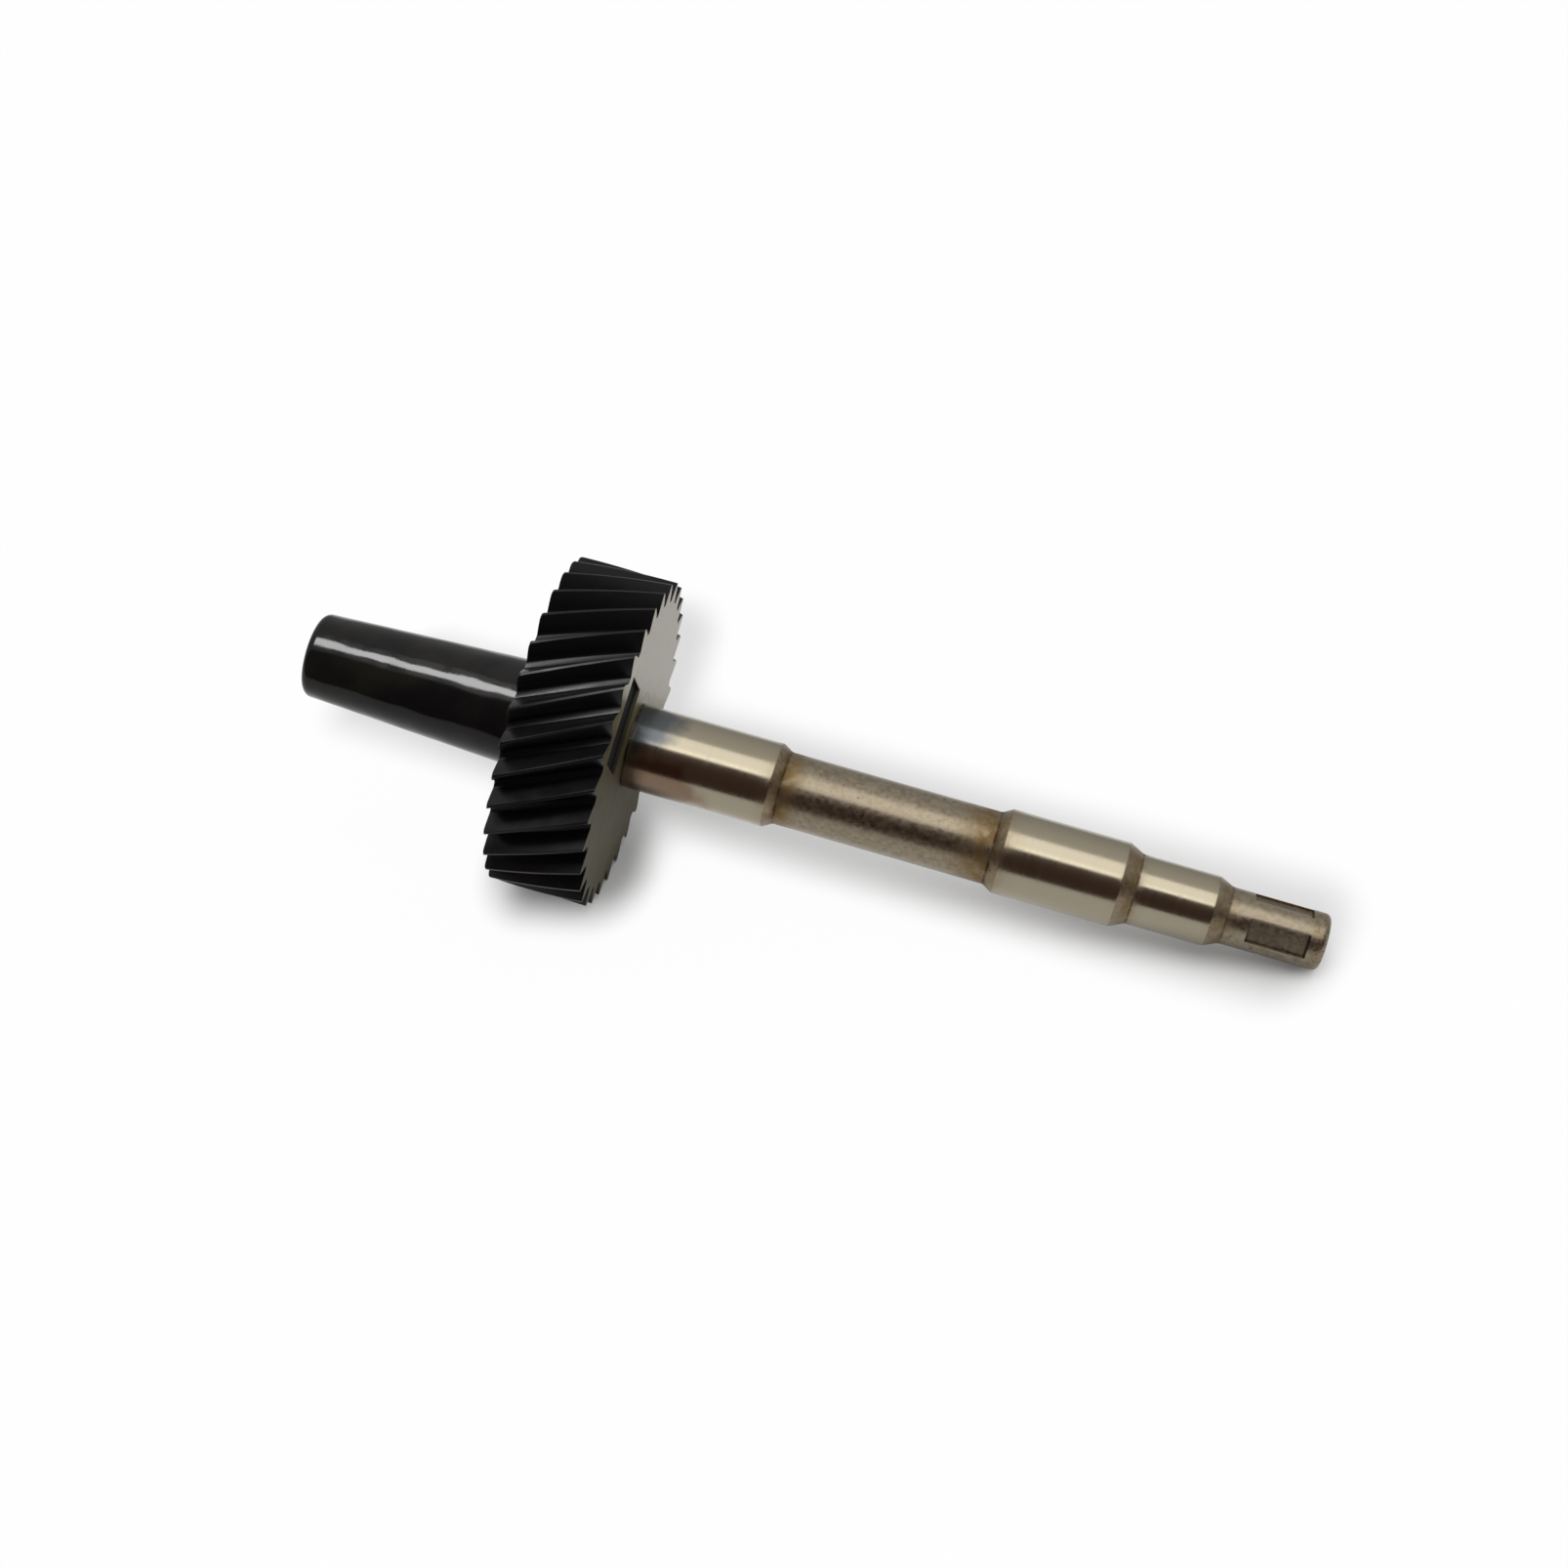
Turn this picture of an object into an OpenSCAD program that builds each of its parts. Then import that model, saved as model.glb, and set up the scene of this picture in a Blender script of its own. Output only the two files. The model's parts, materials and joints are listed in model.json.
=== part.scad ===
// Speedometer driven gear on a long steel shaft, lying at rest.
// A black plastic helical gear and its tapered tail are one moulding, cast round
// the knurled root of a turned and ground steel shaft. Four crimped pockets near
// the shaft's free end press its bore to a square that drives a flexible cable.
// The pieces are drawn about a local axis: Z runs from the tail to the cable end,
// the gear's front face is at Z = 0, and local X points down when the part lies.
// At rest two tooth tips and the rounded rim of the cable end touch the floor.

/* [Helical gear] */
// Number of teeth
tooth_count = 31; // [26:1:36]
// Module across the teeth, square to the helix (20 teeth to the inch)
normal_module = 1.27; // [1.2:0.01:1.35]
// Angle of the left-hand helix at the pitch circle
helix_angle = 25; // [15:0.5:30]
// Pressure angle, square to the helix
pressure_angle = 25; // [20:0.5:27]
// Height of a tooth above the pitch circle
addendum = 1.67; // [1.3:0.01:1.8]
// Depth of a gap below the pitch circle
dedendum = 1.02; // [0.8:0.01:1.3]
// Width of a tooth's flat tip, across the axis
tip_land = 0.4; // [0.3:0.05:0.6]
// Radius where a flank runs into the bottom of its gap
root_fillet = 0.3; // [0.1:0.05:0.4]
// Width of the gear along the axis
face_width = 13.9; // [10:0.1:18]

/* [Tapered tail] */
// Length of the tail behind the gear
tail_length = 33.18; // [20:0.1:45]
// Radius of the tail where it leaves the gear
tail_root_r = 7.75; // [7:0.05:10]
// Radius of the tail at its free end
tail_end_r = 6.05; // [5.5:0.05:6.9]
// Rounding of the tail's free end
tail_edge_r = 1.2; // [0.5:0.05:2]
// Radius of the gate dimple in the tail's end
gate_r = 1.6; // [1:0.1:2.2]
// Depth of the gate dimple
gate_depth = 0.4; // [0.2:0.05:0.8]

/* [Marking recess] */
// Width of the bare recess in the front face, across its radius
recess_width = 12.3; // [8:0.1:14]
// Wall left between the inner journal and the recess
recess_hub = 3.3; // [2:0.1:5]
// Wall left between the recess and the gaps of the teeth
recess_rim = 3; // [1.5:0.1:5]
// Depth of the recess
recess_depth = 0.6; // [0.3:0.05:1]
// Angle of the recess round the axis, from straight down
recess_angle = 223.2; // [0:0.1:360]

/* [Steel shaft] */
// Radius of both 12 mm journals
journal_r = 6; // [5.6:0.05:6.6]
// Width of the grinding relief beside the gear
relief_width = 0.24; // [0.2:0.02:0.8]
// Depth of the grinding relief
relief_depth = 0.4; // [0.1:0.05:0.45]
// Length of the inner journal
inner_journal_length = 20.16; // [14:0.1:26]
// Radius of the waist between the journals
waist_r = 5.157; // [4.9:0.01:5.4]
// Length of the waist
waist_length = 30.21; // [20:0.1:40]
// Length of the cone at each end of the waist
waist_cone_length = 1.43; // [0.8:0.01:2]
// Length of the outer journal
outer_journal_length = 16.53; // [10:0.1:22]
// Length of the cone between the outer journal and the pilot journal
pilot_cone_length = 2.18; // [1:0.01:3]
// Radius of the pilot journal
pilot_r = 4.964; // [4.6:0.01:5.2]
// Length of the pilot journal
pilot_length = 10.83; // [7:0.1:14]
// Length of the cone between the pilot journal and the cable end
tip_cone_length = 2.04; // [1:0.01:3]
// Radius of the cable end
tip_r = 4.028; // [3.9:0.01:4.3]
// Length of the cable end
tip_length = 13.92; // [13:0.1:18]
// Rounding of the cable end's rim
tip_edge_r = 0.95; // [0.4:0.05:1]

/* [Moulded-in root] */
// Solid plastic left in the tail behind the knurled root
root_cover = 14.9; // [6:0.1:20]
// Radius over the knurl's ridges
root_r = 4.5; // [4:0.05:4.9]
// Depth of the knurl
knurl_depth = 0.3; // [0.15:0.05:0.5]
// Number of ridges round the knurl
knurl_count = 24; // [16:1:32]
// Width of the locking groove round the root
lock_width = 3; // [2:0.1:5]
// Depth of the locking groove
lock_depth = 0.9; // [0.6:0.05:1.4]

/* [Cable socket] */
// Radius of the bore for the cable's square end
socket_r = 2.5; // [2.2:0.05:2.6]
// Depth of the bore's straight part
socket_depth = 13.2; // [11.5:0.1:16]
// Widening of the bore at its mouth
mouth_chamfer = 0.4; // [0.2:0.05:0.5]
// Length of a crimped pocket at its floor
pocket_length = 7.9; // [6:0.1:9]
// Distance from the end of the shaft to a pocket's floor
pocket_setback = 2.65; // [1.5:0.05:3]
// Width of a pocket
pocket_width = 3.4; // [2.4:0.1:4]
// Depth of a crimp: outside as a pocket, inside as a pad
crimp_depth = 0.85; // [0.3:0.05:1]
// Run of a pocket's sloping end walls
crimp_slope = 0.25; // [0.1:0.05:0.5]
// Angle of the first pocket round the axis, from straight down
pocket_angle = 70.7; // [0:0.1:360]

/* [Hidden] */

deg_per_rad = 180 / PI;
overrun = 0.5;
tooth_slices = 6;
flank_steps = 4;
fillet_steps = 3;
drill_point_angle = 59;

// Transverse sizes of the gear, from the sizes square to the helix
pitch_r = tooth_count * normal_module / (2 * cos(helix_angle));
outer_r = pitch_r + addendum;
gap_r = pitch_r - dedendum;
transverse_angle = atan(tan(pressure_angle) / cos(helix_angle));
base_r = pitch_r * cos(transverse_angle);
tooth_pitch_angle = 360 / tooth_count;
half_land_angle = tip_land / 2 / outer_r * deg_per_rad;
twist_per_mm = tan(helix_angle) / pitch_r * deg_per_rad;

// Stations along the local axis
gear_back_z = -face_width;
tail_end_z = gear_back_z - tail_length;
inner_journal_z = relief_width + inner_journal_length;
waist_start_z = inner_journal_z + waist_cone_length;
waist_end_z = waist_start_z + waist_length;
outer_journal_z = waist_end_z + waist_cone_length;
outer_journal_end_z = outer_journal_z + outer_journal_length;
pilot_z = outer_journal_end_z + pilot_cone_length;
pilot_end_z = pilot_z + pilot_length;
tip_z = pilot_end_z + tip_cone_length;
shaft_end_z = tip_z + tip_length;

root_length = face_width + tail_length - root_cover;

// Rest pose: the tooth tips either side of the lowest gap and the rounded rim of the cable end
// lie on one plane, which tilts the axis so that the cable end is the low one
support_r = outer_r * cos(tooth_pitch_angle / 2 - half_land_angle);
rim_center_r = tip_r - tip_edge_r;
rim_center_z = shaft_end_z - tip_edge_r;
support_drop = support_r - rim_center_r;
rest_tilt = atan2(support_drop, rim_center_z) - asin(tip_edge_r / norm([support_drop, rim_center_z]));
rest_height = support_r * cos(rest_tilt);
tail_rim_r = tail_end_r - tail_edge_r;
tail_rim_z = tail_end_z + tail_edge_r;
rear_reach = -tail_rim_z * cos(rest_tilt) + tail_rim_r * sin(rest_tilt) + tail_edge_r;
front_reach = rim_center_z * cos(rest_tilt) + rim_center_r * sin(rest_tilt) + tip_edge_r;
rest_shift = (rear_reach - front_reach) / 2;

// Angle between an involute's start and its point at radius r, seen from the axis
function involute_angle(r) =
    let (a = acos(min(1, base_r / r))) tan(a) * deg_per_rad - a;

// Half the angle that a tooth fills at radius r
function half_tooth(r) = half_land_angle + involute_angle(outer_r) - involute_angle(r);

// Fillet at the foot of a flank, no wider than the gap's floor allows
floor_angle = tooth_pitch_angle / 2 - half_tooth(gap_r);
fillet_angle = min(root_fillet / gap_r * deg_per_rad, 0.8 * floor_angle);

function polar(r, angle) = [r * cos(angle), r * sin(angle)];

// Right side of a tooth from the gap's floor up to the tip, as [radius, angle from the tooth's middle]
function fillet_point(t) =
    let (foot = half_tooth(gap_r), top = gap_r + root_fillet)
    [(1 - t) * (1 - t) * gap_r + 2 * t * (1 - t) * gap_r + t * t * top,
     (1 - t) * (1 - t) * (foot + fillet_angle) + 2 * t * (1 - t) * foot + t * t * half_tooth(top)];
flank_side = concat(
    [for (i = [0 : fillet_steps - 1]) fillet_point(i / fillet_steps)],
    [for (i = [0 : flank_steps])
        let (r = gap_r + root_fillet + (outer_r - gap_r - root_fillet) * i / flank_steps) [r, half_tooth(r)]]);

// Whole outline of the toothed section, counter-clockwise, with a gap at angle zero
tooth_outline = [
    for (tooth = [0 : tooth_count - 1])
        let (middle = (tooth + 0.5) * tooth_pitch_angle, last = len(flank_side) - 1)
        for (i = [0 : 2 * last + 1])
            let (right = i <= last, p = right ? flank_side[i] : flank_side[2 * last + 1 - i])
            polar(p[0], middle + (right ? -p[1] : p[1]))];

// Lays a piece drawn about the local axis down in its rest pose
module at_rest() {
    translate([rest_shift, 0, rest_height])
        rotate([0, 90 + rest_tilt, 0])
            children();
}

// Toothed disc, its outline turned left-handed on the way from the rear face to the front face
module helical_disc() {
    twist = twist_per_mm * face_width;
    translate([0, 0, gear_back_z])
        rotate([0, 0, twist])
            linear_extrude(height = face_width, twist = twist, slices = tooth_slices, convexity = 10)
                polygon(tooth_outline);
}

module tail() {
    rotate_extrude($fn = 96) {
        polygon([
            [0, tail_end_z],
            [tail_rim_r, tail_end_z],
            [tail_end_r, tail_rim_z],
            [tail_root_r, gear_back_z],
            [tail_root_r, gear_back_z / 2],
            [0, gear_back_z / 2]]);
        translate([tail_rim_r, tail_rim_z])
            circle(tail_edge_r, $fn = 48);
    }
}

module gate_dimple() {
    translate([0, 0, tail_end_z - overrun])
        cylinder(h = gate_depth + overrun, r = gate_r, $fn = 48);
}

// Shallow rectangle sunk in the front face between the hub and the rim
module marking_recess() {
    inner = journal_r + recess_hub;
    outer = gap_r - recess_rim;
    rotate([0, 0, recess_angle])
        translate([inner, -recess_width / 2, -recess_depth])
            cube([outer - inner, recess_width, recess_depth + overrun]);
}

// Knurled root of the shaft with its locking groove, the same solid in the steel and in the moulding's bore
module knurled_root() {
    difference() {
        translate([0, 0, -root_length])
            linear_extrude(height = root_length + relief_width / 2)
                polygon([
                    for (i = [0 : 2 * knurl_count - 1])
                        polar(root_r - (i % 2) * knurl_depth, i * 180 / knurl_count)]);
        translate([0, 0, -root_length / 2 - lock_width / 2])
            difference() {
                cylinder(h = lock_width, r = root_r + overrun, $fn = 64);
                translate([0, 0, -overrun])
                    cylinder(h = lock_width + 2 * overrun, r = root_r - lock_depth, $fn = 64);
            }
    }
}

// Turned outline of the shaft outside the gear
module shaft_profile() {
    polygon([
        [0, 0],
        [journal_r - relief_depth, 0],
        [journal_r - relief_depth, relief_width],
        [journal_r, relief_width],
        [journal_r, inner_journal_z],
        [waist_r, waist_start_z],
        [waist_r, waist_end_z],
        [journal_r, outer_journal_z],
        [journal_r, outer_journal_end_z],
        [pilot_r, pilot_z],
        [pilot_r, pilot_end_z],
        [tip_r, tip_z],
        [tip_r, rim_center_z],
        [rim_center_r, shaft_end_z],
        [0, shaft_end_z]]);
    translate([rim_center_r, rim_center_z])
        circle(tip_edge_r, $fn = 48);
}

// Block with sloping ends that stands along X from x_face, where it is as long as a pocket's floor
module crimp_wedge(x_face, width) {
    low = shaft_end_z - pocket_setback - pocket_length;
    high = shaft_end_z - pocket_setback;
    reach = crimp_depth + overrun;
    spread = crimp_slope * reach / crimp_depth;
    translate([0, width / 2, 0])
        rotate([90, 0, 0])
            linear_extrude(height = width)
                polygon([
                    [x_face, low],
                    [x_face + reach, low - spread],
                    [x_face + reach, high + spread],
                    [x_face, high]]);
}

module crimp_pockets() {
    for (i = [0 : 3])
        rotate([0, 0, pocket_angle + 90 * i])
            crimp_wedge(tip_r - crimp_depth, pocket_width);
}

// Drilled bore with a bevelled mouth, less the four pads that the crimps press inwards
module cable_socket() {
    difference() {
        union() {
            translate([0, 0, shaft_end_z - socket_depth])
                cylinder(h = socket_depth + overrun, r = socket_r, $fn = 64);
            translate([0, 0, shaft_end_z - socket_depth - socket_r / tan(drill_point_angle)])
                cylinder(h = socket_r / tan(drill_point_angle), r1 = 0, r2 = socket_r, $fn = 64);
            translate([0, 0, shaft_end_z - mouth_chamfer])
                cylinder(h = mouth_chamfer + overrun, r1 = socket_r, r2 = socket_r + mouth_chamfer + overrun, $fn = 64);
        }
        for (i = [0 : 3])
            rotate([0, 0, pocket_angle + 90 * i])
                crimp_wedge(socket_r - crimp_depth, 2 * (socket_r + overrun));
    }
}

module driven_gear() {
    color("#1b1a1a")
        at_rest()
            difference() {
                union() {
                    helical_disc();
                    tail();
                }
                knurled_root();
                marking_recess();
                gate_dimple();
            }
}

module steel_shaft() {
    color("#a9a290")
        at_rest()
            difference() {
                union() {
                    rotate_extrude($fn = 96)
                        shaft_profile();
                    knurled_root();
                }
                crimp_pockets();
                cable_socket();
            }
}

driven_gear();
steel_shaft();
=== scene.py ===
"""Speedometer driven gear: a black moulded helical gear and tail on a long ground steel shaft.

Both pieces are dense closed meshes worked out about the part's own axis, which runs from the tail
to the cable end and has its zero at the gear's front face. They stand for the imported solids.
"""

import json
import math

import bpy
import numpy as np
from bpy.props import FloatProperty, FloatVectorProperty, IntProperty, PointerProperty
from mathutils import Matrix, Vector


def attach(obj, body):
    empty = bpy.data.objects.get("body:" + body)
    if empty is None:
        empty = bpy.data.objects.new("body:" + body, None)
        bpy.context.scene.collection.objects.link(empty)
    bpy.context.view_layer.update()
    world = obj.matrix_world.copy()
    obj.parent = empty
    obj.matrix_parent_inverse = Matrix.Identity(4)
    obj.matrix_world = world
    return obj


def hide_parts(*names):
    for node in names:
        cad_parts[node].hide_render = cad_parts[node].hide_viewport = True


bl_info = {
    "name": "Speedometer driven gear",
    "version": (1, 0, 0),
    "blender": (4, 5, 0),
    "location": "View3D > Sidebar > Driven gear",
    "description": "Builds a moulded helical gear on its steel shaft, with finishes and a plain studio",
    "category": "Add Mesh",
}

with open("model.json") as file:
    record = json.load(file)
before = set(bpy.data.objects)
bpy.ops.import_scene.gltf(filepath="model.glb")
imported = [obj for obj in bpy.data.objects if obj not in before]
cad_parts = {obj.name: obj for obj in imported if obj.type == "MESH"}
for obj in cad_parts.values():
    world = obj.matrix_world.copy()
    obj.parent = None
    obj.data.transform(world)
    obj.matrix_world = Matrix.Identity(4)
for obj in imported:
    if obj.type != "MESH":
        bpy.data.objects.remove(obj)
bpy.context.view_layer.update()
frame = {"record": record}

MOUNTS = {mount["name"]: mount for mount in frame["record"]["mounts"]}
JOURNAL = MOUNTS["inner_journal"]
MM = 0.001


def length(name, description, millimetres):
    """A length in metres whose default is written in millimetres."""
    return FloatProperty(name=name, description=description, default=millimetres * MM, min=0, unit="LENGTH",
                         precision=5)


def angle(name, description, degrees):
    """An angle whose default is written in degrees."""
    return FloatProperty(name=name, description=description, default=math.radians(degrees), subtype="ANGLE")


def linear(colour):
    """Linear colour of an sRGB hex value: c / 12.92 near black, else ((c + 0.055) / 1.055) ** 2.4."""
    channels = [int(colour[i:i + 2], 16) / 255 for i in (1, 3, 5)]
    return [c / 12.92 if c <= 0.04045 else ((c + 0.055) / 1.055) ** 2.4 for c in channels] + [1.0]


def tint(name, description, colour):
    """A colour whose default is written as an sRGB hex value."""
    return FloatVectorProperty(name=name, description=description, default=linear(colour), size=4, min=0,
                               max=1, subtype="COLOR")


class GearSizes(bpy.types.PropertyGroup):
    """Sizes of the moulded gear and its tail."""

    tooth_count: IntProperty(name="Teeth", description="Number of teeth", default=31, min=12)
    normal_module: length("Module", "Module square to the helix", 1.27)
    helix_angle: angle("Helix angle", "Lean of the left-hand teeth at the pitch circle", 25)
    pressure_angle: angle("Pressure angle", "Slope of the flanks, square to the helix", 25)
    addendum: length("Addendum", "Height of a tooth above the pitch circle", 1.67)
    dedendum: length("Dedendum", "Depth of a gap below the pitch circle", 1.02)
    tip_land: length("Tip land", "Width of a tooth's flat tip", 0.4)
    root_fillet: length("Root fillet", "Radius where a flank runs into its gap", 0.3)
    face_width: length("Face width", "Width of the gear along the axis", 13.9)
    rim_round: length("Rear rim rounding", "Rounding of the tooth tips at the rear face", 0.4)
    tail_length: length("Tail length", "Length of the tail behind the gear", 33.18)
    tail_root: length("Tail root radius", "Radius of the tail at the gear", 7.75)
    tail_end: length("Tail end radius", "Radius of the tail at its free end", 6.05)
    tail_edge: length("Tail edge rounding", "Rounding of the tail's free end", 1.2)
    hub_fillet: length("Hub fillet", "Fillet between the tail and the gear", 0.5)
    gate_radius: length("Gate radius", "Radius of the gate dimple in the tail's end", 1.6)
    gate_depth: length("Gate depth", "Depth of the gate dimple", 0.4)
    gate_round: length("Gate rounding", "Rounding of the gate dimple's corners", 0.12)
    recess_inner: length("Recess inner edge", "Distance from the axis to the marking recess", 9.3)
    recess_outer: length("Recess outer edge", "Distance from the axis to the recess's outer edge", 17.7)
    recess_width: length("Recess width", "Width of the recess across its radius", 12.3)
    recess_depth: length("Recess depth", "Depth of the recess", 0.6)
    recess_angle: angle("Recess angle", "Angle of the recess round the axis", 223.2)


class ShaftSizes(bpy.types.PropertyGroup):
    """Sizes of the turned and ground steel shaft."""

    journal_radius: length("Journal radius", "Radius of both large journals", JOURNAL["dims"]["r_mm"])
    relief_width: length("Relief width", "Width of the grinding relief beside the gear", 0.24)
    relief_depth: length("Relief depth", "Depth of the grinding relief", 0.4)
    relief_round: length("Relief rounding", "Rounding of the relief's corners", 0.06)
    edge_round: length("Edge rounding", "Rounding of the journals' edges", 0.14)
    shoulder_fillet: length("Shoulder fillet", "Fillet at the foot of each cone", 0.22)
    inner_journal: length("Inner journal", "Length of the journal beside the gear",
                          JOURNAL["dims"]["length_mm"])
    waist_radius: length("Waist radius", "Radius of the waist between the journals", 5.157)
    waist: length("Waist", "Length of the waist", 30.21)
    waist_cone: length("Waist cone", "Length of the cone at each end of the waist", 1.43)
    outer_journal: length("Outer journal", "Length of the second large journal",
                          MOUNTS["outer_journal"]["dims"]["length_mm"])
    pilot_cone: length("Pilot cone", "Length of the cone before the pilot journal", 2.18)
    pilot_radius: length("Pilot radius", "Radius of the pilot journal",
                         MOUNTS["pilot_journal"]["dims"]["r_mm"])
    pilot: length("Pilot journal", "Length of the pilot journal",
                  MOUNTS["pilot_journal"]["dims"]["length_mm"])
    tip_cone: length("Cable end cone", "Length of the cone before the cable end", 2.04)
    tip_radius: length("Cable end radius", "Radius of the cable end", 4.028)
    tip: length("Cable end", "Length of the cable end", 13.92)
    tip_edge: length("Rim rounding", "Rounding of the cable end's rim", 0.95)
    root: length("Root length", "Length of the knurled root inside the moulding", 32.18)
    root_radius: length("Root radius", "Radius over the knurl's ridges", 4.5)
    knurl_depth: length("Knurl depth", "Depth of the knurl", 0.3)
    knurl_count: IntProperty(name="Knurl ridges", description="Number of ridges round the knurl", default=24,
                             min=8)
    lock_width: length("Lock width", "Width of the locking groove", 3.0)
    lock_depth: length("Lock depth", "Depth of the locking groove", 0.9)
    socket_radius: length("Socket radius", "Radius of the cable bore", 2.5)
    socket_depth: length("Socket depth", "Depth of the bore's straight part", 13.2)
    mouth: length("Mouth bevel", "Widening of the bore at its mouth", 0.4)
    mouth_round: length("Mouth rounding", "Rounding of the mouth bevel's edges", 0.08)
    pocket: length("Pocket length", "Length of a crimped pocket at its floor", 7.9)
    pocket_setback: length("Pocket setback", "Distance from the shaft's end to a pocket", 2.65)
    pocket_width: length("Pocket width", "Width of a pocket", 3.4)
    crimp_depth: length("Crimp depth", "Depth of a pocket and of the pad inside it", 0.85)
    crimp_slope: length("Crimp slope", "Run of a pocket's sloping end walls", 0.25)
    pocket_angle: angle("Pocket angle", "Angle of the first pocket round the axis", 70.7)


class Finishes(bpy.types.PropertyGroup):
    """Colours of the plastic and the steel."""

    plastic: tint("Plastic", "Black of the moulding", "#080708")
    plastic_haze: tint("Plastic haze", "Olive cast where the plastic's skin is dull", "#12110D")
    # Colour of the front face's dust and painted sheen, a painted reflection of the lit floor seen at a flat
    # angle
    face_dust_and_sheen: tint("Face film", "Dusty film on the gear's front face", "#7E7346")
    steel: tint("Steel", "Ground steel", "#918977")
    # Both heat tints are also painted shade: far darker than the steel, they darken the inner journal near
    # the gear
    steel_blue_and_shade: tint("Cool patches", "Bluish heat tint on top of the inner journal", "#515559")
    steel_rose_and_shade: tint("Warm patches", "Rosy heat tint low on the inner journal", "#735F4F")
    turned: tint("Turned steel", "Dull turned steel of the waist and the cable end", "#897F6D")
    turned_dark: tint("Turned steel, dark", "Darker mottle of the turned steel", "#756B5B")
    pit: tint("Pits", "Small dark pits in the turned steel", "#463D32")
    stain: tint("Stain", "Yellow-brown stain beside the shoulders", "#6F5A38")
    rust: tint("Rust", "Rust in the corners of the shoulders", "#33241A")
    # Colour of the pocket's dirt and of the painted shade on its walls
    dirt_shade_colour: tint("Grime", "Oily dirt in a crimped pocket", "#382B23")


class Studio(bpy.types.PropertyGroup):
    """Camera and lights."""

    aim: FloatVectorProperty(name="Aim", description="Point in the middle of the view", size=3, unit="LENGTH",
                             default=(-0.0036867, 0.0000171, 0.0193299), precision=5)
    distance: length("Distance", "Distance from the camera to the aim", 361.786)
    elevation: angle("Elevation", "How far the camera looks down", 35.93)
    heading: angle("Heading", "Turn of the view from +Y towards +X", -14.347)
    roll: angle("Roll", "Turn of the camera about its own view", -1.441)
    lens: FloatProperty(name="Focal length", description="Focal length on a full-frame sensor", default=59.86)
    # Grey of the paper, which shows only near the part, as a painted shadow round it
    floor: tint("Floor", "Pale paper of the floor", "#DCDCDC")
    floor_radius: length("Floor radius", "Radius of the floor", 6000)
    shade_start: length("Shade start", "Distance from the zones at which the paper begins to turn white", 5.7)
    shade_end: length("Shade end", "Distance from the zones at which it is white", 18.5)
    card: tint("Card", "Dark felt of the card", "#5D4841")
    card_front: length("Card distance", "From the part to the card's foot", 60)
    card_lean: length("Card lean", "How far the card's top lies behind its foot", 330)
    card_height: length("Card height", "Height of the card's top", 530)
    card_length: length("Card length", "Length of the card along the part", 1600)
    softbox_elevation: angle("Softbox elevation", "Height of the softbox over the camera's side", 74)
    softbox_distance: length("Softbox distance", "From the part to the softbox", 900)
    softbox_length: length("Softbox length", "Side along the shaft", 800)
    softbox_width: length("Softbox width", "Side across the shaft", 700)
    softbox_radiance: FloatProperty(name="Softbox radiance", description="Brightness of the softbox",
                                    default=1.55)
    edge_elevation: angle("Edge elevation", "Height of the softbox's bright lower edge", 57.5)
    edge_width: length("Edge width", "Width of the bright edge", 130)
    edge_radiance: FloatProperty(name="Edge radiance", description="Brightness that the edge adds",
                                 default=1.2)
    strip_elevation: angle("Strip elevation", "Height of the strip over the camera's side", 73)
    strip_aside: length("Strip offset", "From the aim towards the tail", 330)
    strip_distance: length("Strip distance", "From the part to the strip", 800)
    strip_length: length("Strip length", "Side along the shaft", 360)
    strip_width: length("Strip width", "Side across the shaft", 240)
    strip_radiance: FloatProperty(name="Strip radiance", description="Brightness of the strip",
                                  default=30.0)
    sky_low: FloatProperty(name="Horizon", description="Brightness of the surround at the horizon",
                           default=0.45)
    sky_high: FloatProperty(name="Zenith", description="Brightness of the surround overhead", default=0.95)


# Meshes

CORNER_STEPS = 5
EDGE_STEPS = 12
SUPPORT = 0.05 * MM
# Share of a radius at which a round end is closed onto its pole
POLE_SHARE = 0.2
# Longest stretch between rows on the shaft, on the tail, and on surfaces hidden inside
ROW_STEP = 0.8 * MM
TAIL_STEP = 2 * MM
HIDDEN_STEP = 4 * MM
SHARP_ANGLE = math.radians(24)


def rounded_profile(corners, longest):
    """Turned outline through corners given as station, radius and rounding.

    A corner C with a rounding becomes points (1 - t)(1 - t) A + 2 t (1 - t) C + t t B, where A and B lie the
    rounding away from C along its two sides, with one more point just beyond each. Every stretch
    that is longer than the longest step is then divided evenly.
    """
    corners = np.array(corners, float)
    points, roundings = corners[:, :2], corners[:, 2]
    path = [points[:1]]
    t = np.linspace(0, 1, CORNER_STEPS)[:, None]
    for before, corner, after, rounding in zip(points[:-2], points[1:-1], points[2:], roundings[1:-1]):
        back = (before - corner) / np.linalg.norm(before - corner)
        ahead = (after - corner) / np.linalg.norm(after - corner)
        if rounding:
            a, b = corner + back * rounding, corner + ahead * rounding
            path += [[a + back * SUPPORT], (1 - t) ** 2 * a + 2 * t * (1 - t) * corner + t ** 2 * b,
                     [b + ahead * SUPPORT]]
        else:
            path.append([corner])
    path = np.concatenate(path + [points[-1:]])
    steps = np.maximum(1, np.ceil(np.linalg.norm(np.diff(path, axis=0), axis=1) / longest)).astype(int)
    parts = [start + (end - start) * (np.arange(n) / n)[:, None]
             for start, end, n in zip(path[:-1], path[1:], steps)]
    return np.concatenate(parts + [path[-1:]])


def arc(station, radius, rounding, start, stop, count):
    """Points on a circle: its centre plus the rounding times the cosine and sine of evenly spaced angles."""
    angle = np.linspace(start, stop, count)
    return np.stack([station + rounding * np.cos(angle), radius + rounding * np.sin(angle)], 1)


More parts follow.
